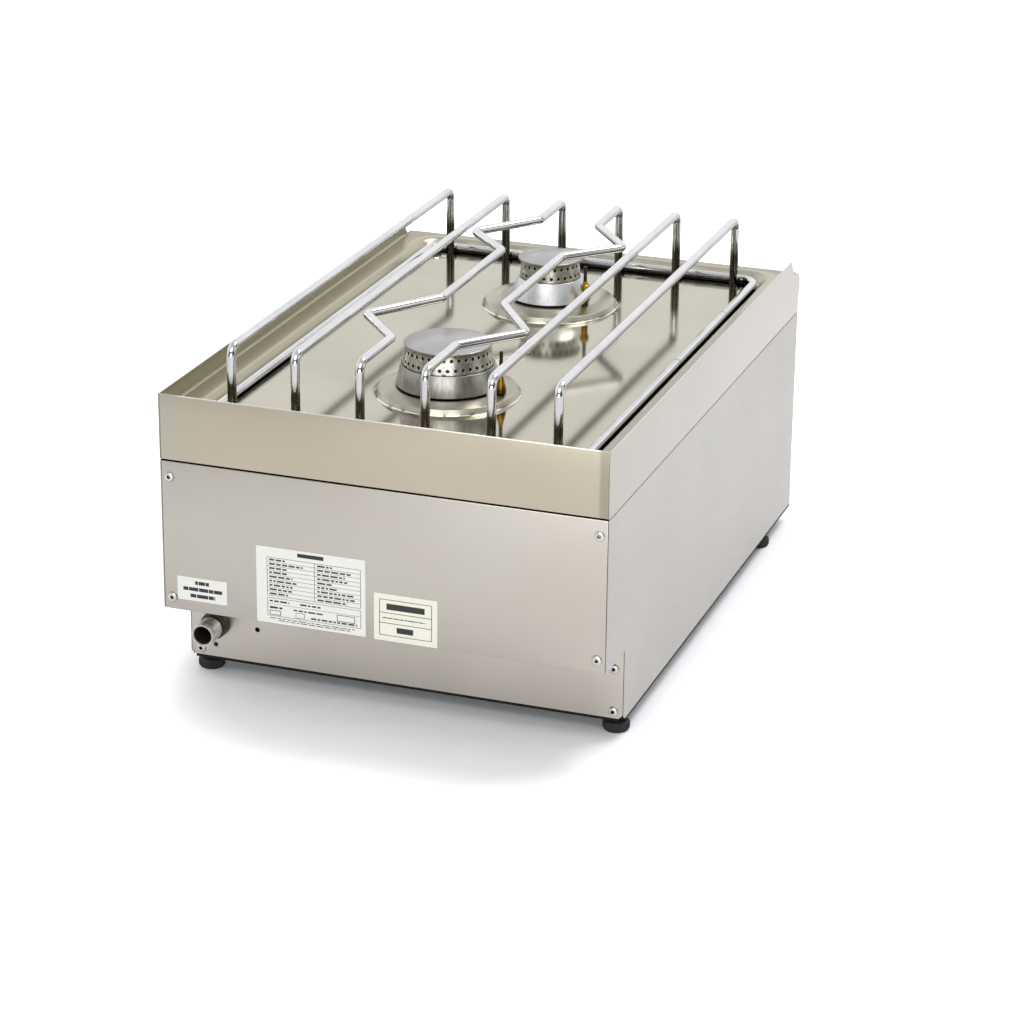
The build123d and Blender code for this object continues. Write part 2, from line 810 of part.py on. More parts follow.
# Gas inlet: threaded nipple through the lower rear panel, with a lock nut behind it
inlet_rear = back(inlet_mouth_back)
inlet_front = plinth_y - inlet_inner
with BuildPart() as gas_inlet:
    with BuildSketch(along(inlet_x, inlet_z)):
        with BuildLine():
            step_y = inlet_rear - inlet_thread_length
            Polyline(
                (inlet_rear, inlet_bore_r),
                (inlet_rear, inlet_thread_r),
                (step_y, inlet_thread_r),
                (step_y, inlet_collar_r),
                (plinth_y, inlet_collar_r),
                (plinth_y, inlet_thread_r),
                (inlet_front, inlet_thread_r),
                (inlet_front, inlet_bore_r),
                close=True,
            )
        make_face()
    revolve(axis=Axis((inlet_x, 0, inlet_z), (0, 1, 0)))
finish(gas_inlet, "gas_inlet")

with BuildPart() as inlet_locknut:
    with BuildSketch(facing_front(inlet_x, plinth_y - 2 * panel_t, inlet_z)):
        RegularPolygon(locknut_af / 2, 6, major_radius=False)
        Circle(inlet_thread_r + run_clear, mode=Mode.SUBTRACT)
    extrude(amount=locknut_t)
finish(inlet_locknut, "inlet_locknut")

# Supply pipe: from the inlet to the front, then up to the manifold
manifold_y = behind(valve_mid)
with BuildPart() as supply_pipe:
    with BuildLine() as route:
        FilletPolyline(
            (inlet_x, inlet_front, inlet_z),
            (inlet_x, manifold_y, inlet_z),
            (inlet_x, manifold_y, manifold_z),
            (manifold_right, manifold_y, manifold_z),
            radius=pipe_bend_r,
        )
    with BuildSketch(section_start(route.line)):
        Circle(pipe_r)
        Circle(pipe_bore_r, mode=Mode.SUBTRACT)
    sweep(path=route.line)
finish(supply_pipe, "supply_pipe")

# Manifold: straight pipe behind the control panel, closed at its far end
with BuildPart() as manifold:
    with BuildSketch(Plane.YZ.offset(manifold_left)):
        with Locations((manifold_y, manifold_z)):
            Circle(pipe_r)
    extrude(amount=manifold_right - manifold_left)
    with BuildSketch(Plane.YZ.offset(manifold_right)):
        with Locations((manifold_y, manifold_z)):
            Circle(pipe_bore_r)
    extrude(amount=-(manifold_right - manifold_left - pipe_r), mode=Mode.SUBTRACT)
finish(manifold, "manifold")

# Clamps that hang the manifold on the control panel
with BuildPart() as manifold_clamps:
    clamp_deep = manifold_y + clamp_half - behind(panel_t)
    for clamp_x in (0, manifold_left + clamp_width / 2):
        with Locations((clamp_x, behind(panel_t) + clamp_deep / 2, manifold_z)):
            Box(clamp_width, clamp_deep, 2 * clamp_half)
        with Locations((clamp_x, behind(panel_t + clamp_t) + clamp_deep / 2, manifold_z - clamp_t)):
            Box(clamp_width, clamp_deep, 2 * clamp_half, mode=Mode.SUBTRACT)
        with Locations((clamp_x, manifold_y, manifold_z + clamp_half / 2)):
            Box(clamp_width, 2 * clamp_half, clamp_half)
        with BuildSketch(Plane.YZ.offset(clamp_x - clamp_width)):
            with Locations((manifold_y, manifold_z)):
                Circle(pipe_r + run_clear)
        extrude(amount=2 * clamp_width, mode=Mode.SUBTRACT)
finish(manifold_clamps, "manifold_clamps")

# Valves with their knobs. The plug turns; the spindle turns with it and is pushed into it.
feed_routes = {
    "left": lambda x, y, z: (
        (x, y, z),
        (x, y, tube_axis_z),
        (x, back(rear_cross_back), tube_axis_z),
        (0, back(rear_cross_back), tube_axis_z),
        (0, burner_places["rear"] - tube_reach - injector_head - injector_tail, tube_axis_z),
    ),
    "right": lambda x, y, z: (
        (x, y, z),
        (x, y, tube_axis_z),
        (0, y, tube_axis_z),
        (0, burner_places["front"] - tube_reach - injector_head - injector_tail, tube_axis_z),
    ),
}


def d_section(radius):
    """Round section with a flat on top, made in the sketch that is open."""
    Circle(radius)
    with Locations((0, 2 * radius - spindle_flat)):
        Rectangle(2 * radius, 2 * radius, mode=Mode.SUBTRACT)


for name, side in (("left", -1), ("right", 1)):
    x = side * knob_x
    valve_axis = Axis((x, 0, knob_z), (0, 1, 0))
    neck_y = behind(valve_gap)
    body_y = neck_y + neck_length
    body_end = body_y + valve_length
    plug_y = neck_y + plug_start
    plug_room = plug_length + 2 * plug_end_gap

    # Valve body: turned brass with an inlet saddle below and an outlet boss above
    with BuildPart() as valve:
        with BuildSketch(along(x, knob_z)):
            with BuildLine():
                Polyline(
                    (neck_y, spindle_r + run_clear),
                    (neck_y, neck_r),
                    (body_y, neck_r),
                    (body_y, valve_r),
                    (body_end, valve_r),
                    (body_end, magnet_r),
                    (magnet_y, magnet_r),
                    (magnet_y, 0),
                    (plug_y + plug_room, 0),
                    (plug_y + plug_room, plug_r + run_clear),
                    (plug_y, plug_r + run_clear),
                    (plug_y, spindle_r + run_clear),
                    close=True,
                )
            make_face()
        revolve(axis=valve_axis)
        for low, high in ((manifold_z, knob_z - plug_r - 2), (knob_z + plug_r + 2, knob_z + boss_rise)):
            with BuildSketch(Plane.XY.offset(low)):
                with Locations((x, manifold_y)):
                    Circle(boss_r)
            extrude(amount=high - low)
        with BuildSketch(Plane.YZ.offset(x - valve_r)):
            with Locations((manifold_y, manifold_z)):
                Circle(pipe_r + run_clear)
        extrude(amount=2 * valve_r, mode=Mode.SUBTRACT)
    finish(valve, f"{name}_valve")

    # Plug inside the valve, with a D-shaped socket for the spindle
    with BuildPart() as plug:
        with BuildSketch(facing_front(x, plug_y + plug_room - plug_end_gap, knob_z)):
            Circle(plug_r)
        extrude(amount=plug_length)
        with BuildSketch(facing_front(x, plug_y + plug_end_gap, knob_z)):
            d_section(spindle_r + run_clear)
        extrude(amount=-plug_socket, mode=Mode.SUBTRACT)
    finish(plug, f"{name}_valve_plug")

    # Spindle: D-shaped at both ends, from inside the knob to inside the plug
    knob_back = behind(-knob_gap)
    knob_front = behind(-knob_reach)
    spindle_front = knob_front + knob_disc
    spindle_end = plug_y + spindle_in_plug
    with BuildPart() as spindle:
        with BuildSketch(facing_front(x, spindle_end, knob_z)):
            d_section(spindle_r)
        extrude(amount=spindle_end - spindle_front)
    finish(spindle, f"{name}_spindle")

    # Knob: flanged disc with a tapered grip bar and an index groove
    with BuildPart() as knob:
        with BuildSketch(facing_front(x, knob_back, knob_z)):
            Circle(knob_r)
        extrude(amount=knob_disc)
        disc_edge = knob.edges().filter_by(GeomType.CIRCLE).sort_by(Axis.Y)[0]
        fillet(disc_edge, radius=knob_disc / 3)
        grip_height = knob_reach - knob_gap - knob_disc
        with BuildSketch(facing_front(x, knob_back - knob_disc, knob_z)):
            RectangleRounded(grip_width, grip_length, grip_width / 2 - 0.5)
        extrude(amount=grip_height, taper=grip_taper)
        with BuildSketch(facing_front(x, knob_front + index_depth, knob_z)):
            with Locations((0, grip_length / 2 - index_length / 2 - 3)):
                Rectangle(index_width, index_length)
        extrude(amount=index_depth, mode=Mode.SUBTRACT)
        with BuildSketch(facing_front(x, knob_back, knob_z)):
            d_section(spindle_r + run_clear)
        extrude(amount=knob_back - spindle_front + fit_gap, mode=Mode.SUBTRACT)
    finish(knob, f"{name}_knob")

    # Bezel: thin ring on the control panel round the spindle
    with BuildPart() as bezel:
        with BuildSketch(facing_front(x, control_y, knob_z)):
            Circle(bezel_r)
            Circle(panel_hole_r, mode=Mode.SUBTRACT)
        extrude(amount=bezel_t)
        bezel_edge = bezel.edges().filter_by(GeomType.CIRCLE).group_by(Axis.Y)[0].sort_by(SortBy.RADIUS)[-1]
        chamfer(bezel_edge, length=bezel_t / 2)
    finish(bezel, f"{name}_bezel")

    # Supply tube from the valve's outlet to the injector of its burner
    with BuildPart() as feed:
        with BuildLine() as feed_line:
            FilletPolyline(*feed_routes[name](x, manifold_y, knob_z + boss_rise), radius=feed_bend_r)
        with BuildSketch(section_start(feed_line.line)):
            Circle(feed_r)
        sweep(path=feed_line.line)
    finish(feed, f"{name}_feed_tube")

# Pan support: frame of round rod with rounded corners, lying in the well
frame_z = floor_z + frame_lift + rod_r
frame_rear = back(rod_rear_back) + 2 * rod_r + weld_gap
frame_front = back(rod_front_back) - 2 * rod_r - weld_gap
with BuildPart() as support_frame:
    with BuildSketch(Plane.XY.offset(frame_z), mode=Mode.PRIVATE) as frame_plan:
        with Locations((0, (frame_rear + frame_front) / 2)):
            RectangleRounded(2 * frame_half_x, frame_rear - frame_front, frame_corner_r)
    frame_line = frame_plan.sketch.face().outer_wire()
    with BuildSketch(section_start(frame_line)):
        Circle(rod_r)
    sweep(path=frame_line)
finish(support_frame, "support_frame")

# Six rods with both ends bent down; the middle two step round the burners
for number in range(6):
    rod_x = (number - 2.5) * rod_pitch
    rear_leg = back(rod_rear_back)
    front_leg = back(rod_front_back)
    route_points = [(rod_x, rear_leg, floor_z), (rod_x, rear_leg, rod_top_z)]
    bends = [rod_bend_r]
    if abs(rod_x) < rod_pitch:
        out_x = rod_x + math.copysign(jog_out, rod_x)
        for jog in (jog_rear, jog_front):
            for jog_x, jog_back in zip((rod_x, out_x, rod_x), jog):
                route_points.append((jog_x, back(jog_back), rod_top_z))
                bends.append(jog_bend_r)
    route_points += [(rod_x, front_leg, rod_top_z), (rod_x, front_leg, floor_z)]
    bends.append(rod_bend_r)
    with BuildPart() as rod:
        with BuildLine() as rod_line:
            FilletPolyline(*route_points, radius=bends)
        with BuildSketch(section_start(rod_line.line)):
            Circle(rod_r)
        sweep(path=rod_line.line)
    finish(rod, f"support_rod_{number + 1}")
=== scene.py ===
"""Two-burner table gas stove: sheet-steel casing, pressed worktop, bent-rod pan support.

Lengths are millimetres, apart from names that end in _M and the studio at the end, which are in
metres. The front faces -Y, Z is up.
"""
import json
import math

import bmesh
import bpy
import numpy as np
from mathutils import Matrix


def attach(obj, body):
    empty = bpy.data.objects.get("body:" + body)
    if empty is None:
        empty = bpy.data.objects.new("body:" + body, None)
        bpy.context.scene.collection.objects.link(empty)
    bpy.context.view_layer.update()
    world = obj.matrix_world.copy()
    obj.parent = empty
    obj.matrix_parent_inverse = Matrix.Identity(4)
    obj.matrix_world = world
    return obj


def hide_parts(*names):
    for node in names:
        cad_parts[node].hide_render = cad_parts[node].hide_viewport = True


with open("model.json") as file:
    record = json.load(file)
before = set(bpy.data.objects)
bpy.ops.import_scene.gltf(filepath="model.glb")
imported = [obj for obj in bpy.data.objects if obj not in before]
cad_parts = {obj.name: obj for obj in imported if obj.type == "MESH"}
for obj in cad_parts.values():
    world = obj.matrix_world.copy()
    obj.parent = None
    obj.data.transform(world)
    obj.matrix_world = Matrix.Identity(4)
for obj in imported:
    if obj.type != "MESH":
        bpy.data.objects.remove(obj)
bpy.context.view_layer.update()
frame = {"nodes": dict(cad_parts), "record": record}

MM = 0.001
MERGE_M = 2e-6  # points nearer than this are one point
SLIVER_M = 1e-7  # shorter edges vanish
BUMP_M = 0.0001  # height that a bump of strength 1 stands for

# Sizes shared with the construction
REAR = 311.15  # Y of the rear face
NOSE = REAR - 600.0  # Y of the worktop's front
CONTROL = NOSE + 3.5  # Y of the control panel's face
PLINTH = REAR - 52.0  # Y of the lower rear panel's face
HALF = 200.0  # half the casing's width
SHEET = 1.5  # thickness of collar and cheeks
PANEL = 1.2  # thickness of the other sheets
UNDER = 17.0  # Z of the casing's lower edge
SEAM = 217.0  # Z where the collar meets the panels
STEP = 81.0  # Z of the upper rear panel's lower edge
DECK = 258.5  # Z of the worktop's deck
COLLAR = 275.5  # Z of the collar's top
FLOOR = DECK - 9.0  # Z of the well's floor
BURNERS = {"rear": REAR - 161.0, "front": REAR - 435.0}  # Y of each burner's axis
INLET = (175.0, 49.0)  # X and Z of the gas inlet's axis


# Mesh helpers

def add_mesh(name, parts, body, material, replaced=(), sharp=40.0, close=True):
    """One object from a list of (points, faces) in millimetres, merged where they meet.

    sharp is the angle in degrees past which an edge stays crisp. close turns the faces of a closed
    surface outwards.
    """
    points, faces, first = [], [], 0
    for part_points, part_faces in parts:
        points.append(np.asarray(part_points, dtype=float).reshape(-1, 3))
        faces += [tuple(int(i) + first for i in face) for face in part_faces]
        first += len(points[-1])
    mesh = bpy.data.meshes.new(name)
    mesh.from_pydata((np.concatenate(points) * MM).tolist(), [], faces)
    work = bmesh.new()
    work.from_mesh(mesh)
    bmesh.ops.remove_doubles(work, verts=work.verts, dist=MERGE_M)
    bmesh.ops.dissolve_degenerate(work, edges=work.edges, dist=SLIVER_M)
    if close:
        bmesh.ops.recalc_face_normals(work, faces=work.faces)
    for face in work.faces:
        face.smooth = len(face.verts) <= 4
    bmesh.ops.triangulate(work, faces=[face for face in work.faces if len(face.verts) > 4],
                          ngon_method="EAR_CLIP")
    work.to_mesh(mesh)
    work.free()
    smooth = np.zeros(len(mesh.polygons), dtype=bool)
    mesh.polygons.foreach_get("use_smooth", smooth)
    mesh.set_sharp_from_angle(angle=math.radians(sharp))
    mesh.polygons.foreach_set("use_smooth", smooth)
    piece = bpy.data.objects.new(name, mesh)
    bpy.context.scene.collection.objects.link(piece)
    mesh.materials.append(material)
    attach(piece, body)
    if replaced:
        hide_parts(*replaced)
    return piece


def skin(grid, wrap_rows=False, wrap_columns=False):
    """Quads over a grid of points with shape (rows, columns, 3)."""
    rows, columns = grid.shape[:2]
    index = np.arange(rows * columns).reshape(rows, columns)
    if wrap_rows:
        index = np.concatenate([index, index[:1]])
    if wrap_columns:
        index = np.concatenate([index, index[:, :1]], axis=1)
    quads = np.stack([index[:-1, :-1], index[:-1, 1:], index[1:, 1:], index[1:, :-1]], axis=-1)
    return grid.reshape(-1, 3), quads.reshape(-1, 4)


def facing(part, direction):
    """Turns all faces of an open surface over if its mean normal points against direction."""
    points, faces = part
    corners = points[np.asarray(faces)]
    normal = np.cross(corners[:, 2] - corners[:, 0], corners[:, 3] - corners[:, 1]).sum(axis=0)
    return (points, faces) if normal @ np.asarray(direction) > 0 else (points, np.asarray(faces)[:, ::-1])


def rounded(corners, radii, steps=6):
    """Polyline with each inner corner replaced by an arc.

    At a corner with directions a and b, the arc starts radius*tan(turn/2) before it and runs
    start + radius*sin(t)*a + radius*(1 - cos(t))*n, with n the part of b square to a.
    """
    corners = np.asarray(corners, dtype=float)
    radii = np.broadcast_to(np.asarray(radii, dtype=float), (len(corners) - 2,))
    path = [corners[:1]]
    for before, corner, after, radius in zip(corners[:-2], corners[1:-1], corners[2:], radii):
        a = (corner - before) / np.linalg.norm(corner - before)
        b = (after - corner) / np.linalg.norm(after - corner)
        turn = math.acos(float(np.clip(a @ b, -1, 1)))
        if turn < 1e-4 or radius <= 0:
            path.append(corner[None])
            continue
        n = b - (b @ a) * a
        n /= np.linalg.norm(n)
        start = corner - a * radius * math.tan(turn / 2)
        t = np.linspace(0, turn, steps + 1)[:, None]
        path.append(start + radius * np.sin(t) * a + radius * (1 - np.cos(t)) * n)
    path.append(corners[-1:])
    return np.concatenate(path)


def turned(profile, x, y, axis="Z", steps=96, angles=None):
    """Surface of revolution: radius*cos(t), radius*sin(t), height for a profile of (radius, height).

    With axis "Y" the profile's height is Y, and x, y are the axis's X and Z.
    """
    profile = np.asarray(profile, dtype=float)
    t = np.linspace(0, 2 * math.pi, steps, endpoint=False) if angles is None else angles
    radius, height = profile[:, 0][:, None], profile[:, 1][:, None]
    across, up, along = radius * np.cos(t), radius * np.sin(t), height + 0 * t
    if axis == "Z":
        grid = np.stack([x + across, y + up, along], axis=-1)
    else:
        grid = np.stack([x + across, along, y + up], axis=-1)
    return skin(grid, wrap_columns=True)


def tube(path, radius, sides=24, wrap=False):
    """Round rod along a path: path + radius*(cos(t)*side + sin(t)*up), both square to the path."""
    ahead = np.roll(path, -1, axis=0) - np.roll(path, 1, axis=0)
    if not wrap:
        ahead[0] = path[1] - path[0]
        ahead[-1] = path[-1] - path[-2]
    ahead /= np.linalg.norm(ahead, axis=1)[:, None]
    side = np.cross(ahead, np.array([1.0, 0.2, 0.6]))
    side /= np.linalg.norm(side, axis=1)[:, None]
    up = np.cross(side, ahead)
    t = np.linspace(0, 2 * math.pi, sides, endpoint=False)
    ring = side[:, None] * np.cos(t)[:, None] + up[:, None] * np.sin(t)[:, None]
    points, faces = skin(path[:, None] + ring * radius, wrap_rows=wrap, wrap_columns=True)
    faces = [tuple(face) for face in faces]
    if not wrap:
        faces += [tuple(range(sides)), tuple(range(len(points) - sides, len(points)))]
    return points, faces


def slab(outline, thickness, place, edge=0.5, steps=3):
    """Flat sheet with rounded edges. Rings of the outline, inset by edge*(1 - sin(t)) at a height of
    edge*(1 - cos(t)), run round both faces; place(u, v, w) puts the plane in space."""
    outline = np.asarray(outline, dtype=float)
    ahead = np.roll(outline, -1, axis=0) - outline
    ahead /= np.linalg.norm(ahead, axis=1)[:, None]
    out = np.stack([ahead[:, 1], -ahead[:, 0]], axis=1)
    previous = np.roll(out, 1, axis=0)
    corner = (out + previous) / (1 + np.sum(out * previous, axis=1))[:, None]
    t = np.linspace(0, math.pi / 2, steps + 1)
    inset = np.concatenate([edge * (1 - np.sin(t)), edge * (1 - np.sin(t[::-1]))])
    height = np.concatenate([edge * (1 - np.cos(t)), thickness - edge * (1 - np.cos(t[::-1]))])
    plan = outline[None] - corner[None] * inset[:, None, None]
    grid = place(plan[..., 0], plan[..., 1], height[:, None] + 0 * plan[..., 0])
    points, faces = skin(np.stack(grid, axis=-1), wrap_columns=True)
    faces = [tuple(face) for face in faces]
    count = len(outline)
    faces += [tuple(range(count)), tuple(range(len(points) - count, len(points)))]
    return points, faces


def on_side(sign):
    """For slab: u along Y, v up, w inwards from the casing's side face."""
    return lambda u, v, w: (sign * (HALF - w), u, v)


def on_rear(u, v, w):
    """For slab: u along X, v up, w inwards from the rear face."""
    return u, REAR - w, v


def rectangle(low_u, low_v, high_u, high_v):
    """Corners of an upright rectangle, anticlockwise."""
    return np.array([(low_u, low_v), (high_u, low_v), (high_u, high_v), (low_u, high_v)], dtype=float)


# Material helpers

def colour(text):
    """Linear RGBA of an sRGB hex value."""
    value = np.array([int(text[i:i + 2], 16) for i in (1, 3, 5)]) / 255
    value = np.where(value <= 0.04045, value / 12.92, ((value + 0.055) / 1.055) ** 2.4)
    return (*value, 1.0)


def add_node(tree, kind, inputs=None, **settings):
    """Adds a shader node, sets its properties, and fills or links its inputs."""
    made = tree.nodes.new(kind)
    for key, value in settings.items():
        setattr(made, key, value)
    for key, value in (inputs or {}).items():
        if isinstance(value, bpy.types.NodeSocket):
            tree.links.new(value, made.inputs[key])
        else:
            made.inputs[key].default_value = value
    return made


def new_material(name, **inputs):
    """Material with a Principled shader. Returns it, its tree, its shader and Object coordinates."""
    made = bpy.data.materials.new(name)
    made.use_nodes = True
    tree = made.node_tree
    shader = tree.nodes["Principled BSDF"]
    for key, value in inputs.items():
        shader.inputs[key.replace("_", " ")].default_value = value
    place = add_node(tree, "ShaderNodeTexCoord").outputs["Object"]
    return made, tree, shader, place


def ramp(tree, factor, stops):
    """Colour ramp from (position, hex or grey) pairs."""
    made = add_node(tree, "ShaderNodeValToRGB", {"Fac": factor})
    elements = made.color_ramp.elements
    while len(elements) < len(stops):
        elements.new(0.5)
    for element, (position, value) in zip(elements, stops):
        element.position = position
        element.color = colour(value) if isinstance(value, str) else (value, value, value, 1.0)
    return made.outputs["Color"]


def noise(tree, vector, scale, detail, rough):
    """Noise between 0 and 1 with scale cells to the metre."""
    return add_node(tree, "ShaderNodeTexNoise", {"Vector": vector, "Scale": scale, "Detail": detail,
                                                 "Roughness": rough}).outputs["Fac"]


def split(tree, vector):
    """The three coordinates of a vector, by name."""
    return add_node(tree, "ShaderNodeSeparateXYZ", {"Vector": vector}).outputs


def mixed(tree, factor, first, second, blend="MIX"):
    """Blends the second colour into the first."""
    return add_node(tree, "ShaderNodeMix", {0: factor, 6: first, 7: second},
                    data_type="RGBA", blend_type=blend).outputs[2]


def mapped(tree, value, start, stop, low=0.0, high=1.0, kind="LINEAR"):
    """Maps start to low and stop to high, and holds both ends."""
    return add_node(tree, "ShaderNodeMapRange",
                    {"Value": value, "From Min": start, "From Max": stop, "To Min": low, "To Max": high},
                    interpolation_type=kind).outputs[0]


def combined(tree, operation, *values):
    """Result of a math node."""
    return add_node(tree, "ShaderNodeMath", dict(enumerate(values)), operation=operation).outputs[0]


def add_bump(tree, shader, height, strength):
    bump = add_node(tree, "ShaderNodeBump", {"Height": height, "Strength": strength, "Distance": BUMP_M})
    tree.links.new(bump.outputs[0], shader.inputs["Normal"])


def grained_steel(name, light, dark, rough, grain_mm, along, depth, cloud_mm=90.0, bands=(), hollow_mm=0.0,
                  hollow="#1A1815", streak=0.0, softer=None, underside=1.0, metal=1.0):
    """Metal with fine lines from noise stretched along one axis, plus soft clouds.

    Each band is (axis, from, to, colour) in millimetres and blends in between the two places.
    With hollow_mm, narrow gaps and the foot of each piece take the hollow colour, as painted shade. streak is how
    much the lines darken the tint. softer (from, to, factor) multiplies the roughness above a height in millimetres.
    underside multiplies the tint of the faces that look downwards, as painted shade. metal below 1 stands for a milky
    plating.
    """
    made, tree, shader, place = new_material(name, Metallic=metal)
    fine, long = 1 / (grain_mm * MM), 1 / (grain_mm * 60 * MM)
    scale = tuple(long if axis == along else fine for axis in "XYZ")
    stretched = add_node(tree, "ShaderNodeMapping", {"Vector": place, "Scale": scale})
    lines = noise(tree, stretched.outputs[0], 1.0, 3.0, 0.6)
    clouds = noise(tree, place, 1 / (cloud_mm * MM), 2.0, 0.5)
    tint = ramp(tree, clouds, ((0.3, dark), (0.7, light)))
    if streak:
        seam = mapped(tree, lines, 0.36, 0.62, 1 - streak, 1.0)
        tint = mixed(tree, 1.0, tint, seam, "MULTIPLY")
    parts = split(tree, place)
    for axis, start, stop, shade in bands:
        reach = mapped(tree, parts[axis], start * MM, stop * MM, kind="SMOOTHSTEP")
        tint = mixed(tree, reach, tint, colour(shade))
    if underside < 1.0:
        slope = split(tree, add_node(tree, "ShaderNodeTexCoord").outputs["Normal"])
        tint = mixed(tree, 1.0, tint, mapped(tree, slope["Z"], -0.22, -0.04, underside, 1.0), "MULTIPLY")
    if hollow_mm:
        open_sky = add_node(tree, "ShaderNodeAmbientOcclusion", {"Distance": hollow_mm * MM}, samples=8)
        lit = ramp(tree, open_sky.outputs["AO"], ((0.30, 0.0), (0.85, 1.0)))
        tint = mixed(tree, lit, colour(hollow), tint)
    tree.links.new(tint, shader.inputs["Base Color"])
    rougher = combined(tree, "MULTIPLY_ADD", lines, rough * 0.14, rough * 0.93)
    if softer:
        start, stop, factor = softer
        rougher = combined(tree, "MULTIPLY", rougher, mapped(tree, parts["Z"], start * MM, stop * MM, 1.0, factor))
    tree.links.new(rougher, shader.inputs["Roughness"])
    add_bump(tree, shader, lines, depth)
    return made


def plain_grain(name, light, dark, rough, grain_mm, depth):
    """Moulded or printed skin: two close tones over fine isotropic grain."""
    made, tree, shader, place = new_material(name, Roughness=rough)
    grain = noise(tree, place, 1 / (grain_mm * MM), 4.0, 0.6)
    tree.links.new(ramp(tree, grain, ((0.3, dark), (0.7, light))), shader.inputs["Base Color"])
    add_bump(tree, shader, grain, depth)
    return made


# Materials

# Worktop: 304 stainless, cold-rolled to a smooth warm finish, so legs and burners mirror softly.
# The bands give a painted highlight, a bright line at the foot of each raised ring, and a painted reflection
# of the cheek, a duller border. Narrow gaps, as between the frame and the well's wall, get painted shade
worktop_steel = grained_steel("cold_rolled_stainless_worktop", "#BFBBAC", "#B6B1A1", 0.10, 0.35, "Y", 0.03,
                              hollow_mm=6.0, hollow="#38352D", softer=(250.2, 252.0, 2.9),
                              bands=(("Z", 249.62, 249.75, "#FFFFF6"), ("Z", 250.3, 250.5, "#BBB7A8"),
                                     ("X", 166.0, 176.0, "#B8B39D")))
# Collar: the same sheet, seen edge on, with the lines of its last grinding along its length, and a painted
# highlight along its top edge
collar_steel = grained_steel("ground_stainless_collar", "#D4CBB8", "#CEC5B2", 0.24, 0.3, "X", 0.05,
                             bands=(("Z", 274.4, 275.0, "#F6F5EE"), ("X", 178.0, 187.0, "#CDC7BA"),
                                    ("X", -189.0, -192.6, "#B2AE9B")))
# Cheeks: the same sheet, where the grain runs front to back. Outside, the sheet is painted greyer as a painted
# reflection and paler towards the front as painted light; the inner faces are painted olive-brown as a painted
# reflection of the well, and the top edge carries a faint painted highlight
cheek_steel = grained_steel("ground_stainless_cheek", "#D6D2CD", "#D0CCC6", 0.24, 0.3, "Y", 0.05,
                            bands=(("Y", 250.0, -280.0, "#E6E2DE"), ("Z", 274.4, 275.0, "#DCD9D2"),
                                   ("X", -198.9, -198.3, "#B0A892"), ("X", 0.0, 1.0, "#A7A08B"),
                                   ("X", 199.7, 199.95, "#D2CEC9")))
# Panels: 430 stainless, finely brushed, a cooler and duller grey, with painted shade in narrow gaps
panel_steel = grained_steel("brushed_stainless_panel", "#D8D3CB", "#D4CEC6", 0.30, 0.3, "X", 0.04, hollow_mm=2.0)
side_steel = grained_steel("brushed_stainless_side", "#D4D1CF", "#CFCCCA", 0.28, 0.3, "Y", 0.02, hollow_mm=2.0)
# Plinth: the same brushed sheet, painted a tone lighter as painted light, to make up for the step's shadow that it
# lies in
plinth_steel = grained_steel("brushed_stainless_plinth_painted_lighter", "#E6E0D8", "#E0DAD2", 0.30, 0.3, "X", 0.04, hollow_mm=2.0)
# Inner sheet: galvanised steel, dull grey with faint spangle
zinc_steel = grained_steel("galvanised_sheet", "#A9ABAD", "#8C8F92", 0.45, 3.0, "Z", 0.1, cloud_mm=14.0)
# Rods: bright chrome over ground steel rod, almost a mirror, with painted shade on the faces that look downwards
rod_chrome = grained_steel("chrome_plated_rod", "#E4E4E6", "#D8D8DA", 0.05, 0.8, "Y", 0.03, cloud_mm=30.0,
                           underside=0.30)
# Legs: the same chrome, darker towards the foot, with painted shade in gaps and on the faces that look downwards
leg_chrome = grained_steel("chrome_leg_darker_low_painted_shade", "#E6E6E8", "#DADADC", 0.07, 0.8, "Z", 0.1, cloud_mm=30.0,
                           bands=(("Z", 292.0, 278.0, "#625E53"),), hollow_mm=5.0, hollow="#4A463C",
                           underside=0.30)
# Bodies: aluminium casting, skimmed on a lathe, with a silky ring pattern and painted shade at the foot
turned_aluminium = grained_steel("turned_cast_aluminium", "#CECDCA", "#BFBDB9", 0.34, 2.2, "Z", 0.4, cloud_mm=25.0,
                                 bands=(("Z", 259.6, 258.6, "#6A655B"),), streak=0.26)
# Far body: the same casting, painted paler as painted light for the bright highlight it shows, and more even
far_body_painted_paler = grained_steel("cast_aluminium_painted_paler", "#FCFDFE", "#EDEFF0", 0.42, 1.6, "Z", 0.4, cloud_mm=25.0,
                                  bands=(("Z", 259.6, 258.6, "#6A655B"),), streak=0.16)
# Flame rings: alloy that heat has tinted a little, with painted shade at the foot and in the ports
heat_tinted_alloy = grained_steel("heat_tinted_ring_alloy", "#F2F0E9", "#CCC8BA", 0.30, 0.9, "Z", 0.4, cloud_mm=2.4,
                                  bands=(("Z", 289.0, 293.0, "#B0AB8E"), ("Z", 278.4, 277.2, "#4E4A3E")),
                                  hollow_mm=3.5, hollow="#0B0A07", streak=0.22)
# Caps: pressed steel that heat has turned to a neutral satin grey
satin_cap_steel = grained_steel("satin_cap_steel", "#B9B8B8", "#B1B0B1", 0.30, 0.3, "X", 0.15, cloud_mm=35.0)
# Glands, valves, injectors: machined brass, lightly dulled, and dark low down where a gland is in shade
machined_brass = grained_steel("machined_brass", "#C09A3C", "#957424", 0.30, 0.4, "X", 0.2, cloud_mm=8.0,
                               bands=(("Z", 268.0, 259.0, "#57471F"),))
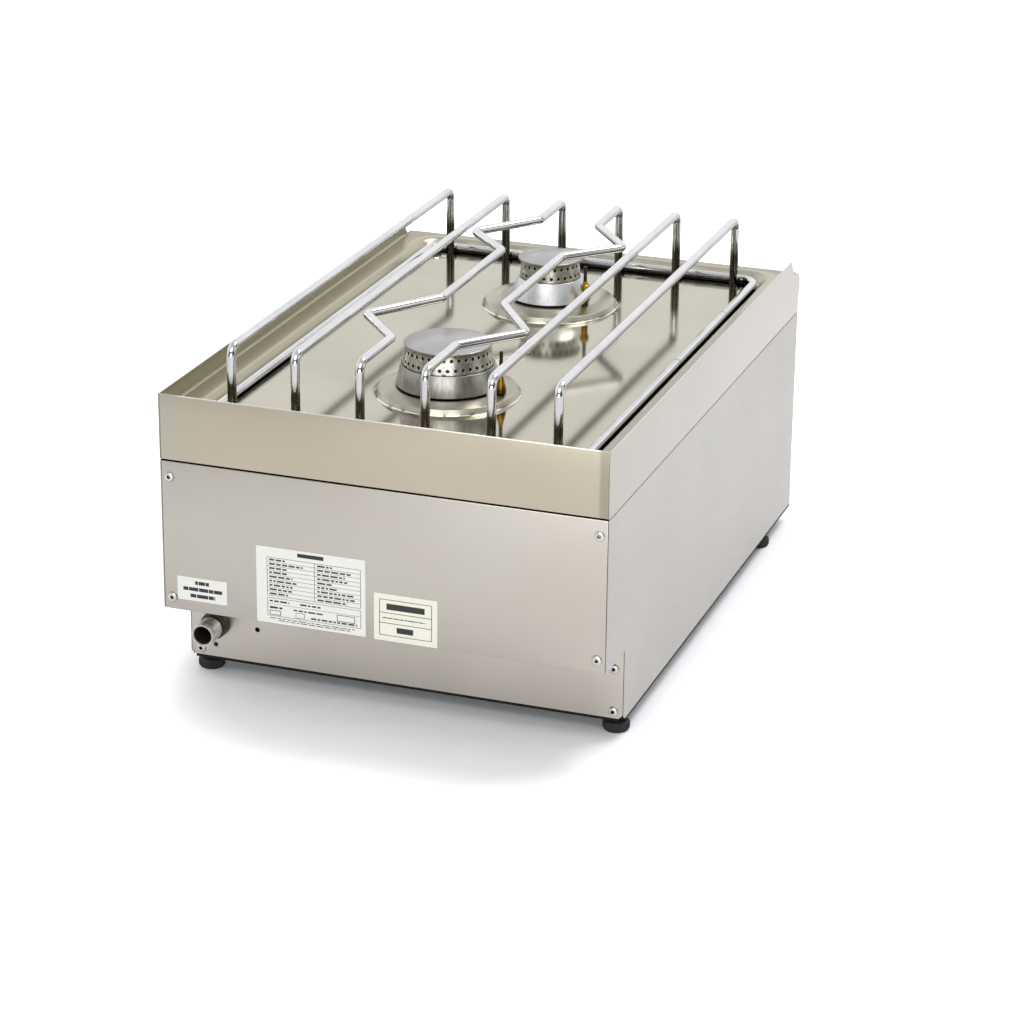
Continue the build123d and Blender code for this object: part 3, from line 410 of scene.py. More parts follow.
# Inlet: nickel-plated steel, milky with handling marks, dark behind its bright sleeve, partly from a dark
# burnish and partly as painted shade from the panel above; narrow gaps get painted shade
nickel_plate = grained_steel("nickel_plated_steel", "#FFFFFC", "#E2DFD6", 0.40, 0.7, "Y", 0.6, cloud_mm=2.4,
                             bands=(("Y", 272.0, 270.5, "#6A655B"), ("Y", 267.6, 266.6, "#2E2A24")),
                             hollow_mm=1.2, streak=0.45, metal=0.6)
# Screws: bright zinc-plated steel, with painted shade in the hexagonal sockets
bright_screw = grained_steel("bright_screw_steel", "#F2F0EC", "#E4E2DE", 0.30, 0.4, "X", 0.1, cloud_mm=5.0,
                             hollow_mm=4.0)
# Probe: nickel steel that the flame has browned
browned_steel = grained_steel("flame_browned_steel", "#5E564C", "#3A352F", 0.40, 0.4, "X", 0.2, cloud_mm=5.0)
# Feet: moulded black rubber with a dusty skin
foot_rubber = plain_grain("moulded_rubber_foot", "#2B2D30", "#1D1F22", 0.62, 0.6, 0.5)
# Knobs: moulded phenolic, satin black
knob_phenolic = plain_grain("moulded_phenolic_knob", "#232323", "#191919", 0.38, 0.5, 0.3)
# Folds under the sheets: the raw sheared edge, painted black as painted shade
fold_painted_shade = plain_grain("sheared_edge_painted_shade", "#0F0E0D", "#090908", 0.9, 0.5, 0.3)
# Plates: polyester film, nearly white and with a soft sheen
white_film = plain_grain("white_polyester_film", "#F4F4EF", "#EEEEE8", 0.35, 1.5, 0.1)
cream_film = plain_grain("cream_polyester_film", "#F8F7EA", "#F1F0E2", 0.35, 1.5, 0.1)
# Print on the plates: matt dark ink
print_ink = plain_grain("dark_print_ink", "#3A3C3C", "#2C2E2E", 0.6, 0.3, 0.1)
# Inside of the inlet: steel bore, painted dark brown as painted shade
bore_painted_shade = plain_grain("steel_bore_painted_shade", "#33291F", "#1C150F", 0.7, 1.6, 0.3)


# Worktop: deck, well and the two raised rings as one pressed sheet

WELL_HALF_X, WELL_LOW, WELL_HIGH, WELL_R = 178.0, NOSE + 23.0, REAR - 10.0, 24.0
WELL_EDGE = 14.0  # inset at which the floor's fans begin
SPLIT = REAR - 298.0  # Y of the line between the two burners' halves
BEND_R = 2.0  # deck to walls
NOSE_R = 12.5
RAISED_R = 68.0  # outside of a raised ring, with the flat round its foot
SIDE_STEPS = 12
CORNER_STEPS = 13
HALF_COUNT = 3 * SIDE_STEPS + 2 * CORNER_STEPS  # a loop's points on the rear side of SPLIT, both ends included


def loop(half_x, low_y, high_y, radius):
    """Rounded rectangle in plan, anticlockwise from the point of its +X side at SPLIT.

    Each corner is the arc radius*cos(t), radius*sin(t) about its centre. Returns an (n, 2) array.
    """
    t = np.linspace(0, math.pi / 2, CORNER_STEPS)
    arcs = []
    for turn, (sx, y) in enumerate(((1, high_y), (-1, high_y), (-1, low_y), (1, low_y))):
        angle = t + turn * math.pi / 2
        cx = sx * (half_x - radius)
        cy = y - radius if y == high_y else y + radius
        arcs.append(np.stack([cx + radius * np.cos(angle), cy + radius * np.sin(angle)], axis=1))
    upper = np.linspace(SPLIT, high_y - radius, SIDE_STEPS, endpoint=False)
    lower = np.linspace(low_y + radius, SPLIT, SIDE_STEPS, endpoint=False)[1:]
    across = np.linspace(-(half_x - radius), half_x - radius, SIDE_STEPS + 2)[1:-1]
    runs = [(0 * upper + half_x, upper), arcs[0].T, (-across, 0 * across + high_y), arcs[1].T,
            (0 * upper - half_x, upper[::-1]), (0 * lower - half_x, lower[::-1]),
            arcs[2].T, (across, 0 * across + low_y), arcs[3].T, (0 * lower + half_x, lower)]
    return np.concatenate([np.stack(run, axis=1) for run in runs])


def with_last(values, last):
    """Adds a last coordinate that is the same for all points."""
    return np.column_stack([values, np.full(len(values), last)])


def well_ring(inset):
    """Plan of the well, moved inwards by inset."""
    return loop(WELL_HALF_X - inset, WELL_LOW + inset, WELL_HIGH - inset, WELL_R - inset)


def wall_bend(border):
    """Round that turns the deck up to the rear wall and the cheeks.

    Rows leave the border by BEND_R*sin(t) and rise by BEND_R*(1 - cos(t)). The rise fades out between
    30 and 20 mm behind the nose.
    """
    chosen = np.concatenate([border[-SIDE_STEPS:], border[:HALF_COUNT + SIDE_STEPS]])
    fade = np.clip((chosen[:, 1] - NOSE - 20.0) / 10.0, 0, 1)
    near_wall = SHEET + BEND_R + 0.1
    reach = np.array([np.sign(chosen[:, 0]) * (np.abs(chosen[:, 0]) > HALF - near_wall),
                      chosen[:, 1] > REAR - near_wall]).T.astype(float)
    rows = []
    for t in np.linspace(0, math.pi / 2, 6):
        row = chosen.copy()
        row[:, :2] += reach * BEND_R * math.sin(t)
        row[:, 2] += BEND_R * (1 - math.cos(t)) * fade
        rows.append(row)
    return rows


def pressed_sheet():
    """Deck rings, then the well's wall from a rounded section (inset, z), then the floor as two fans
    that end on the raised rings, then each raised ring turned about its burner's axis."""
    section = rounded([(-4.5, DECK), (0, DECK), (7.0, FLOOR), (WELL_EDGE, FLOOR)], [5.5, 5.0], 9)
    rings = [with_last(well_ring(inset), z) for inset, z in section]
    rim = loop(HALF - SHEET - BEND_R, NOSE + NOSE_R, REAR - SHEET - BEND_R, 0.02)
    border = with_last(rim, DECK)
    parts = [skin(np.stack([border] + rings), wrap_columns=True), skin(np.stack(wall_bend(border)))]
    edge = rings[-1][:, :2]
    middle = np.linspace(-(WELL_HALF_X - WELL_EDGE), WELL_HALF_X - WELL_EDGE, 40)[1:-1]
    middle = with_last(middle, SPLIT)
    upper = np.concatenate([edge[:HALF_COUNT], middle])
    lower = np.concatenate([edge[HALF_COUNT - 1:], edge[:1], middle[::-1]])
    # Raised ring: (radius, height above the floor)
    ring_section = rounded([(RAISED_R, 0), (64.0, 0), (60.5, 5.0), (46.5, 7.7), (21.5, 7.7), (20.0, 5.6)],
                           [0.8, 0.7, 9.0, 1.2], 5)
    for outline, y in ((upper, BURNERS["rear"]), (lower, BURNERS["front"])):
        angle = np.arctan2(outline[:, 1] - y, outline[:, 0])
        start = np.stack([RAISED_R * np.cos(angle), y + RAISED_R * np.sin(angle)], axis=1)
        fan = np.stack([with_last(outline, FLOOR), with_last(start, FLOOR)])
        parts.append(skin(fan, wrap_columns=True))
        parts.append(turned(ring_section + np.array([0, FLOOR]), 0, y, angles=angle))
    return parts


# Section of the nose (Y, Z) from the deck over the front and down to the seam, and its corners' radii
NOSE_CORNERS = [(NOSE + NOSE_R, DECK), (NOSE, DECK), (NOSE, DECK - 20), (CONTROL, DECK - 23.0),
                (CONTROL, SEAM + 0.3)]
NOSE_RADII = [12.4, 5.0, 3.0]


def nose_roll():
    """Front edge: the nose's rounded section, carried along X."""
    section = rounded(NOSE_CORNERS, NOSE_RADII, 10)
    x = np.array([-(HALF - SHEET), HALF - SHEET])
    shape = (len(section), 2)
    grid = np.stack([np.broadcast_to(x, shape), np.broadcast_to(section[:, :1], shape),
                     np.broadcast_to(section[:, 1:], shape)], axis=-1)
    return skin(grid)


worktop = add_mesh("worktop_pressed_sheet", [facing(part, (0, 0, 1)) for part in pressed_sheet()]
                   + [facing(nose_roll(), (0, -1, 1))],
                   "stove", worktop_steel, replaced=["worktop"], sharp=50, close=False)
shell = worktop.modifiers.new("sheet thickness", "SOLIDIFY")
shell.thickness = PANEL * MM
shell.offset = -1.0


def cheek_outline():
    """Side cheek in the YZ plane, with the sloped end of the collar and the nose's round."""
    top = rounded([(CONTROL, SEAM), (REAR, SEAM + 0.3), (REAR, COLLAR), (REAR - 566, COLLAR),
                   (REAR - 577, DECK + 0.4), (NOSE + NOSE_R, DECK)], [0, 0.5, 3.0, 2.0], 4)[1:-1]
    return np.concatenate([top, rounded(NOSE_CORNERS, NOSE_RADII, 8)])


for side, sign in (("left", -1), ("right", 1)):
    add_mesh(f"worktop_{side}_cheek", [slab(cheek_outline(), SHEET, on_side(sign), edge=0.45)],
             "stove", cheek_steel, sharp=35)
rear_wall = rectangle(-HALF + SHEET, SEAM + 0.4, HALF - SHEET, COLLAR)
add_mesh("worktop_rear_wall", [slab(rear_wall, SHEET, on_rear, edge=0.45)],
         "stove", collar_steel, sharp=35)


# Casing sheets

for side, sign in (("left", -1), ("right", 1)):
    outline = rounded([(CONTROL, UNDER + 4), (CONTROL, UNDER), (PLINTH, UNDER), (PLINTH, STEP), (REAR, STEP),
                       (REAR, SEAM - 0.5), (CONTROL, SEAM - 0.5), (CONTROL, UNDER + 4)],
                      [0.9, 5.0, 0.4, 0.9, 0.9, 0.9], 5)[:-1]
    add_mesh(f"{side}_side_sheet", [slab(outline, PANEL, on_side(sign), edge=0.55)],
             "stove", side_steel, replaced=[f"{side}_side_panel"], sharp=35)
rear_sheet = rectangle(-198.6, STEP, 198.6, SEAM - 1.1)
add_mesh("rear_sheet_face", [slab(rear_sheet, PANEL, on_rear, edge=0.55)],
         "stove", panel_steel, replaced=["rear_panel"], sharp=35)

FOLD_R, FOLD_LOW, FOLD_IN = 2.6, UNDER - 2.4, 0.15


def fold_strip(ends, out):
    """Quarter-round under a sheet's lower edge, between two points (x, y) whose sheet faces out.

    The strip is ends + out*FOLD_IN*FOLD_R*(cos(t) - 1) in plan and FOLD_LOW + FOLD_R*(1 - sin(t)) high.
    """
    t = np.linspace(0, math.pi / 2, 7)[:, None]
    ends, out = np.asarray(ends, dtype=float), np.asarray([out, out], dtype=float)
    plan = ends[None] + out * FOLD_IN * FOLD_R * (np.cos(t) - 1)[..., None]
    height = FOLD_LOW + FOLD_R * (1 - np.sin(t)) + 0 * plan[..., 0]
    return skin(np.concatenate([plan, height[..., None]], axis=2))


fold_rear, fold_front = PLINTH + 0.1, CONTROL + 0.5
folds = [fold_strip([(-HALF + 5.0, fold_rear), (HALF - 5.0, fold_rear)], (0, 1))]
for sign in (-1, 1):
    x = sign * (HALF - 0.1)
    folds.append(fold_strip([(x, fold_rear - 5.0), (x, fold_front)], (sign, 0)))
# Black strips of painted shade along the casing's lower edges
add_mesh("lower_edge_folds", folds, "stove", fold_painted_shade, close=False)


# Printed plates: ruled tables and plain bars in place of lettering. All places and sizes of
# the marks are shares of their plate's width and height, from its upper left corner seen from behind

# Centre X, centre Z, width, height of each plate in millimetres
RATING, SMALL, CREAM = (62.8, 116.5, 99.5, 69.5), (163.4, 102.0, 46.4, 21.5), (-22.9, 102.6, 57.0, 42.5)
INK_LOW, INK_HIGH = REAR + 0.25, REAR + 0.34  # Y of the ink's back and front
RULE = 0.004  # weight of a ruled line
PRINT = 0.022  # height of a bar that stands for small print


def bars(plate, boxes):
    """Ink boxes on a plate (x, z, width, height) from (left, right, top, bottom) shares of the plate."""
    x, z, width, height = plate
    boxes = np.asarray(boxes)
    left, right = x + width / 2 - boxes[:, 0] * width, x + width / 2 - boxes[:, 1] * width
    top, bottom = z + height / 2 - boxes[:, 2] * height, z + height / 2 - boxes[:, 3] * height
    corners = [(a, y, c) for a in (left, right) for y in (INK_LOW, INK_HIGH) for c in (bottom, top)]
    points = np.stack([np.stack([a, y + 0 * a, c], axis=-1) for a, y, c in corners], axis=1)
    sides = np.array([(0, 1, 3, 2), (4, 6, 7, 5), (0, 4, 5, 1), (2, 3, 7, 6), (0, 2, 6, 4), (1, 5, 7, 3)])
    faces = (np.arange(len(boxes))[:, None, None] * 8 + sides[None]).reshape(-1, 4)
    return points.reshape(-1, 3), faces


def line_across(left, right, height, weight=RULE):
    return (left, right, height - weight / 2, height + weight / 2)


def line_down(place, top, bottom, weight=RULE):
    return (place - weight / 2, place + weight / 2, top, bottom)


def frame_box(left, right, top, bottom, across=RULE, down=0.005):
    """Four ruled lines. across is the upright lines' weight, down the level lines' weight."""
    return [line_across(left, right, top, down), line_across(left, right, bottom, down),
            line_down(left, top, bottom, across), line_down(right, top, bottom, across)]


def word_row(left, right, middle, height=PRINT, longest=0.075):
    """Row of plain bars of uneven length that stands for a line of small print."""
    row = []
    while left < right:
        length = chance.uniform(0.02, longest)
        row.append((left, min(left + length, right), middle - height / 2, middle + height / 2))
        left += length + 0.012
    return row


chance = np.random.default_rng(11)
rating = [(0.38, 0.62, 0.035, 0.085)] + frame_box(0.10, 0.955, 0.135, 0.635)
rating += [line_down(0.535, 0.135, 0.635)]
for row in range(9):
    middle = 0.163 + row * 0.0556
    rating += word_row(0.12, 0.12 + chance.uniform(0.12, 0.32), middle)
    rating += word_row(0.56, 0.56 + chance.uniform(0.10, 0.36), middle)
    if row:
        rating.append(line_across(0.10, 0.955, middle - 0.028))
rating += frame_box(0.10, 0.955, 0.665, 0.90) + [line_across(0.10, 0.955, 0.745)]
rating += word_row(0.12, 0.30, 0.705) + word_row(0.40, 0.60, 0.705)
rating += word_row(0.12, 0.24, 0.79, 0.026) + word_row(0.34, 0.62, 0.79, 0.02)
rating += frame_box(0.12, 0.22, 0.83, 0.885, 0.006, 0.008) + frame_box(0.36, 0.44, 0.82, 0.885, RULE, 0.006)
rating += frame_box(0.74, 0.90, 0.765, 0.845, 0.006, 0.008) + word_row(0.50, 0.92, 0.868)
rating += word_row(0.12, 0.90, 0.93, 0.010) + word_row(0.20, 0.86, 0.955, 0.010)
small = word_row(0.36, 0.64, 0.22, 0.15, 0.3) + word_row(0.12, 0.90, 0.50, 0.15, 0.3)
small += word_row(0.26, 0.76, 0.78, 0.15, 0.3)
cream = frame_box(0.09, 0.91, 0.12, 0.88, 0.010, 0.012)
cream += [line_across(0.09, 0.91, 0.40, 0.012), line_across(0.09, 0.91, 0.62, 0.012)]
cream += [(0.20, 0.80, 0.20, 0.33), (0.36, 0.62, 0.69, 0.81)] + word_row(0.14, 0.80, 0.51, 0.02, 0.12)
for name, plate, marks in (("rating", RATING, rating), ("small", SMALL, small), ("cream", CREAM, cream)):
    add_mesh(f"{name}_plate_ruling", [bars(plate, marks)], "stove", print_ink, sharp=10)


# Pan support: bent rods on a frame of the same rod

ROD_R = 3.985  # a hair under the construction's 4 mm, so the drawn rod stays inside it
ROD_TOP = 313.9  # Z of the rods' centre line
ROD_REAR, ROD_FRONT = REAR - 29.8, REAR - 556.3
ROD_PITCH = 58.0
RODS_X = [(number - 2.5) * ROD_PITCH for number in range(6)]
JOG = 44.5  # how far the two middle rods step outwards
JOG_STOPS = ((102.0, 156.0, 223.0), (380.0, 429.0, 489.0))  # begin, farthest point, end, from the rear
FRAME_Z = FLOOR + 0.3 + ROD_R  # the frame lies 0.3 above the well's floor
JOINTS = (15.0, -134.0)  # Y of the frame rod's butt joints, both on the -X run
FRAME_X, FRAME_REAR, FRAME_FRONT = 166.2, ROD_REAR + 8.1, ROD_FRONT - 8.1


def rod_path(x):
    """Centre line of one rod: up, along and down, with two steps outwards on the middle rods."""
    corners = [(x, ROD_REAR, FLOOR), (x, ROD_REAR, ROD_TOP)]
    radii = [9.0]
    if abs(x) < ROD_PITCH:
        for stops in JOG_STOPS:
            for across, back in zip((x, x + math.copysign(JOG, x), x), stops):
                corners.append((across, REAR - back, ROD_TOP))
                radii.append(7.0)
    corners += [(x, ROD_FRONT, ROD_TOP), (x, ROD_FRONT, FLOOR)]
    radii.append(9.0)
    return rounded(corners, radii, 9)


for number, x in enumerate(RODS_X, 1):
    add_mesh(f"support_rod_{number}_bright", [tube(rod_path(x), ROD_R)], "pan_support",
             leg_chrome, replaced=[f"support_rod_{number}"], sharp=60)

corner_path = rounded([(0, FRAME_REAR, FRAME_Z), (FRAME_X, FRAME_REAR, FRAME_Z), (FRAME_X, FRAME_FRONT, FRAME_Z),
                       (-FRAME_X, FRAME_FRONT, FRAME_Z), (-FRAME_X, FRAME_REAR, FRAME_Z),
                       (0, FRAME_REAR, FRAME_Z)], 16.0, 12)[:-1]
add_mesh("support_frame_bright", [tube(corner_path, ROD_R, wrap=True)], "pan_support",
         rod_chrome, replaced=["support_frame"], sharp=60)

joints = [tube(np.array([(-FRAME_X, y - 0.35, FRAME_Z), (-FRAME_X, y + 0.35, FRAME_Z)]), ROD_R + 0.06, 32)
          for y in JOINTS]
add_mesh("support_frame_butt_joints", joints, "pan_support", browned_steel, sharp=30)


def weld_bead(x, y, seed):
    """Lumpy closed bead between a leg and the frame: an ellipsoid with a small wave on its radius."""
    v = np.linspace(0, math.pi, 9)[:, None]
    u = np.linspace(0, 2 * math.pi, 16, endpoint=False)[None]
    lump = 1 + 0.12 * np.sin(3 * u + seed) * np.sin(v) + 0.08 * np.sin(5 * u - 2 * seed + 3 * v) * np.sin(v)
    grid = np.stack([x + 3.6 * lump * np.sin(v) * np.cos(u), y + 2.4 * lump * np.sin(v) * np.sin(u),
                     FRAME_Z + 3.2 + 2.2 * np.cos(v) + 0 * u], axis=-1)
    return skin(grid, wrap_columns=True)


beads = [weld_bead(x, y, number + 7 * end) for number, x in enumerate(RODS_X)
         for end, y in enumerate(((ROD_REAR + FRAME_REAR) / 2, (ROD_FRONT + FRAME_FRONT) / 2))]
add_mesh("support_weld_beads", beads, "pan_support", rod_chrome, sharp=60)


# Burners

# Ring's mean radius, how much wider its foot is than its top, body's rim, body's foot, cap
HEADS = {"rear": (38.4, 3.0, 41.2, 45.4, 38.2), "front": (27.8, 1.4, 29.6, 38.4, 30.0)}
SKIRT_Z, RIM_Z, SEAT_Z, RING_TOP = 258.3, 277.4, 276.4, 294.0
BODY_LOW = 236.5
RIM_WALL = 0.8
RING_WALL = 2.2
PORT_R, PORT_PITCH = 1.5, 6.7
PORT_ROWS = (5.2, 13.6)  # above the seat
ROW_BORDER = 9.4  # between the two rows of ports
CAP_EDGE, CAP_CROWN, CAP_ROUND = 2.0, 3.2, 0.8


def ported_wall(radius, draft, y):
    """Flame ring's outer wall with two rows of round ports, narrower by draft at its top.

    Each port has a square cell of the wall. Its points run from the port's circle to the cell's
    border, and the flat cell (distance, z) is wrapped round the axis as angle = distance/radius.
    """
    ports = round(2 * math.pi * radius / PORT_PITCH)
    pitch = 2 * math.pi * radius / ports
    middle = SEAT_Z + ROW_BORDER
    t = np.linspace(0, 2 * math.pi, 24, endpoint=False)
    unit = np.stack([np.cos(t), np.sin(t)], axis=1)
    circle, square = PORT_R * unit, unit / np.abs(unit).max(axis=1)[:, None]
    depth = np.array([0, 0, 0, 0.15, RING_WALL - 0.1])
    parts = []
    for row, (low, high, rise) in enumerate(((SEAT_Z, middle, PORT_ROWS[0]), (middle, RING_TOP, PORT_ROWS[1]))):
        port_z = SEAT_Z + rise
        reach = np.where(square[:, 1] > 0, high - port_z, port_z - low)
        border = np.stack([square[:, 0] * pitch / 2, square[:, 1] * reach], axis=1)
        cell = np.stack([border, (border + 3 * circle) / 4, circle * 1.12, circle, circle])
        turn = (np.arange(ports) + 0.5 * row) * 2 * math.pi / ports
        angle = turn[:, None, None] + cell[None, :, :, 0] / radius
        z = port_z + cell[None, :, :, 1] + 0 * angle
        size = radius - depth[None, :, None] - draft * ((z - SEAT_Z) / (RING_TOP - SEAT_Z) - 0.5)
        grid = np.stack([size * np.cos(angle), y + size * np.sin(angle), z], axis=-1)
        parts += [skin(port, wrap_columns=True) for port in grid]
    return parts


def body_profile(ring_r, top_r, foot_r):
    """Closed section (radius, Z) of a body: throat, skirt, rim, the ring's seat and the bowl."""
    outside = rounded(
        [(17.0, BODY_LOW), (16.0, 262.0), (foot_r - 3.0, SKIRT_Z + 2.0), (foot_r - 1.6, SKIRT_Z),
         (foot_r, SKIRT_Z), (top_r, RIM_Z), (top_r - RIM_WALL, RIM_Z), (top_r - RIM_WALL, SEAT_Z - 0.2),
         (ring_r - 5.0, SEAT_Z - 0.2)], [1.0, 0.8, 0.4, 0.9, 0.35, 0.3, 0.2], 4)
    bowl = rounded([(ring_r - 5.0, SEAT_Z - 0.2), (ring_r - 5.4, 267.5), (12.0, 264.5), (12.0, BODY_LOW),
                    (17.0, BODY_LOW)], [2.0, 2.0, 0.1], 4)
    return np.concatenate([outside, bowl[1:]])


def ring_inside(ring_r, draft):
    """Section (radius, Z) of a ring behind its ported wall: top edge, inner face and foot."""
    top_r, base_r = ring_r - draft / 2, ring_r + draft / 2
    return rounded([(top_r, RING_TOP), (top_r - RING_WALL, RING_TOP), (base_r - RING_WALL, SEAT_Z + 2.2),
                    (ring_r - 6.4, SEAT_Z + 2.2), (ring_r - 6.4, SEAT_Z - 3.0), (ring_r - 5.0, SEAT_Z - 3.0),
                    (ring_r - 5.0, SEAT_Z), (base_r, SEAT_Z)], 0.2, 2)


def cap_profile(ring_r, cap_r):
    """Section (radius, Z) of a cap: lip and underside, rounded edge, and a crown that rises from the
    edge by CAP_CROWN*(1 - s*s), with s the share of the radius."""
    edge_z = RING_TOP + CAP_EDGE
    under = [(0, RING_TOP + 2.2), (ring_r - 6.0, RING_TOP), (ring_r - 6.0, RING_TOP - 3.0),
             (ring_r - 3.0, RING_TOP - 3.0), (ring_r - 3.0, RING_TOP)]
    rim = rounded([(ring_r - 3.0, RING_TOP), (cap_r, RING_TOP), (cap_r, edge_z), (cap_r - CAP_ROUND, edge_z + 0.05)],
                  [0.5, 0.6], 4)
    share = np.linspace(1, 0, 14)[:, None]
    crown = np.concatenate([share * (cap_r - CAP_ROUND), edge_z + CAP_CROWN * (1 - share ** 2)], axis=1)
    return np.concatenate([under, rim, crown])


for name, (ring_r, draft, top_r, foot_r, cap_r) in HEADS.items():
    y = BURNERS[name]
    add_mesh(f"{name}_burner_body_turned", [turned(body_profile(ring_r, top_r, foot_r), 0, y)],
             "stove", turned_aluminium if name == "rear" else far_body_painted_paler,
             replaced=[f"{name}_burner_body"], sharp=45)
    add_mesh(f"{name}_flame_ring_ported", ported_wall(ring_r, draft, y) + [turned(ring_inside(ring_r, draft), 0, y)],
             f"{name}_ring", heat_tinted_alloy, replaced=[f"{name}_flame_ring"], sharp=35)
    add_mesh(f"{name}_burner_cap_pressed", [turned(cap_profile(ring_r, cap_r), 0, y)],
             f"{name}_cap", satin_cap_steel, replaced=[f"{name}_burner_cap"], sharp=35)


# Far gland: its nut sits higher than the near one's, on a longer shank
GLAND_X, GLAND_Y = -39.5, BURNERS["front"] + 15.0
gland = rounded([(1.7, 257.2), (3.2, 257.2), (3.0, 270.5), (4.4, 272.0), (4.4, 276.4), (2.2, 277.4), (2.2, 280.0),
                 (1.7, 280.0), (1.7, 257.2)], [0.3, 0.2, 0.3, 0.4, 0.3, 0.3, 0.2], 3)
add_mesh("front_probe_gland_turned", [turned(gland, GLAND_X, GLAND_Y)], "stove",
         machined_brass, replaced=["front_probe_gland"], sharp=40)


# Gas inlet: threaded mouth, bright sleeve, dark shank and collar

MOUTH = REAR - 22.0
INLET_END = PLINTH - 13.9  # inner end, behind the lower rear panel
THREAD_R, THREAD_DEPTH, THREAD_PITCH, THREAD_LENGTH = 10.55, 0.9, 1.81, 6.4


def threaded_inlet():
    """Turned about the inlet's axis. Near the mouth the radius falls by THREAD_DEPTH*|2*f - 1| with
    f the fractional part of distance/pitch - turn/(2*pi)."""
    turn = np.linspace(0, 2 * math.pi, 72, endpoint=False)
    depth = np.linspace(0, THREAD_LENGTH, 33)[:, None]
    share = (depth / THREAD_PITCH - turn / (2 * math.pi)) % 1.0
    runout = np.clip((THREAD_LENGTH - 0.8 - depth) / 1.0, 0, 1)
    radius = np.minimum(THREAD_R - THREAD_DEPTH * np.abs(2 * share - 1) * runout, 10.1 + depth)
    grid = np.stack([INLET[0] + radius * np.cos(turn), MOUTH - depth + 0 * radius,
                     INLET[1] + radius * np.sin(turn)], axis=-1)
    sleeve = rounded([(10.5, MOUTH - THREAD_LENGTH), (10.5, MOUTH - 18.0), (9.7, MOUTH - 18.6), (9.7, MOUTH - 22.0),
                      (12.1, MOUTH - 22.0), (12.1, MOUTH - 29.8), (10.4, MOUTH - 30.0), (10.4, INLET_END),
                      (8.3, INLET_END), (8.3, MOUTH - 0.9), (8.7, MOUTH), (10.1, MOUTH)],
                     [0.4, 0.1, 0.1, 0.6, 0.6, 0.1, 0.2, 0.1, 0.2, 0.1], 4)
    return [skin(grid, wrap_columns=True), turned(sleeve, *INLET, axis="Y", angles=turn)]


add_mesh("gas_inlet_threaded", threaded_inlet(), "stove", nickel_plate, replaced=["gas_inlet"],
         sharp=40)
# Thin lining of the bore, from just inside the mouth, painted dark as painted shade
lining = [(8.28, MOUTH - 1.4), (8.28, INLET_END + 0.2), (7.9, INLET_END + 0.2), (7.9, MOUTH - 1.4),
          (8.28, MOUTH - 1.4)]
add_mesh("gas_inlet_bore", [turned(lining, *INLET, axis="Y")], "stove", bore_painted_shade, sharp=40)


# Fasteners and feet

SOCKET_R, SCREW_HEAD_R, SCREW_HEAD_H, SHANK_R, SHANK_LENGTH = 1.75, 4.2, 1.9, 2.0, 8.0
FOOT_R, FOOT_X = 11.5, 188.1
FEET_BACK = {"rear": 69.0, "front": 520.0}  # from the rear face


def button_screw(x, y, z):
    """Button head turned about Y with a hexagonal socket.

    The socket's radius is SOCKET_R*cos(30)/cos(turn mod 60 - 30), with angles in degrees. The crown is
    a quarter of an ellipse."""
    turn = np.linspace(0, 2 * math.pi, 48, endpoint=False)
    hexagon = SOCKET_R * math.cos(math.pi / 6) / np.cos(turn % (math.pi / 3) - math.pi / 6)
    rows = [(0 * turn, -0.6), (hexagon, -0.6), (hexagon, 1.75), (hexagon + 0.2, SCREW_HEAD_H)]
    for t in np.linspace(0, 1, 6) * math.pi / 2:
        rows.append((0 * turn + SCREW_HEAD_R - 1.9 * (1 - math.sin(t)), SCREW_HEAD_H - 1.25 * (1 - math.cos(t))))
    rows += [(0 * turn + SCREW_HEAD_R, 0.0), (0 * turn + SHANK_R, 0.0), (0 * turn + SHANK_R, -SHANK_LENGTH),
             (0 * turn, -SHANK_LENGTH)]
    grid = np.stack([np.stack([x + radius * np.cos(turn), 0 * turn + y + height, z + radius * np.sin(turn)], axis=-1)
                     for radius, height in rows])
    return skin(grid, wrap_columns=True)


for row, face, across, heights in (("rear", REAR, HALF - 8.5, (92.0, 202.0)),
                                   ("plinth", PLINTH, HALF - 9.8, (23.3, 62.7))):
    spots = [(sign * across, face, z) for sign in (-1, 1) for z in heights]
    add_mesh(f"{row}_button_screws", [button_screw(*spot) for spot in spots], "stove",
             bright_screw, replaced=[f"{row}_panel_screws"], sharp=35)


def ribbed_foot(x, y):
    """Foot turned about Z. The rim's radius gains 0.25*cos(40*turn) between its rounded edges."""
    turn = np.linspace(0, 2 * math.pi, 240, endpoint=False)
    section = rounded([(0, 0.3), (10.2, 0), (FOOT_R, 2.4), (FOOT_R, 7.4), (9.8, 9.4), (5.0, 9.6), (5.0, 16.9),
                       (0, 16.9)], [0.9, 1.8, 1.8, 0.8, 0.3, 0.2], 5)
    ribs = np.clip((section[:, :1] - FOOT_R + 0.6) / 0.4, 0, 1) * 0.25 * np.cos(40 * turn)
    radius = section[:, :1] + ribs
    grid = np.stack([x + radius * np.cos(turn), y + radius * np.sin(turn), section[:, 1:] + 0 * turn], axis=-1)
    return skin(grid, wrap_columns=True)


for end, back in FEET_BACK.items():
    for side, sign in (("left", -1), ("right", 1)):
        add_mesh(f"{end}_{side}_foot_ribbed", [ribbed_foot(sign * FOOT_X, REAR - back)], "stove",
                 foot_rubber, replaced=[f"{end}_{side}_foot"], sharp=30)


# Finish of the construction's own pieces that stay in view

FINISHES = {
    "zinc_steel": zinc_steel, "screw_steel": bright_screw, "brass": machined_brass,
    "nickel_steel": nickel_plate, "feed_tube": turned_aluminium, "probe": browned_steel,
    "knob_plastic": knob_phenolic, "rubber": foot_rubber, "white_label": white_film,
    "cream_label": cream_film, "cast_aluminium": turned_aluminium, "stainless": panel_steel,
    "chromed_rod": rod_chrome, "ring_alloy": heat_tinted_alloy, "cap_steel": satin_cap_steel,
}
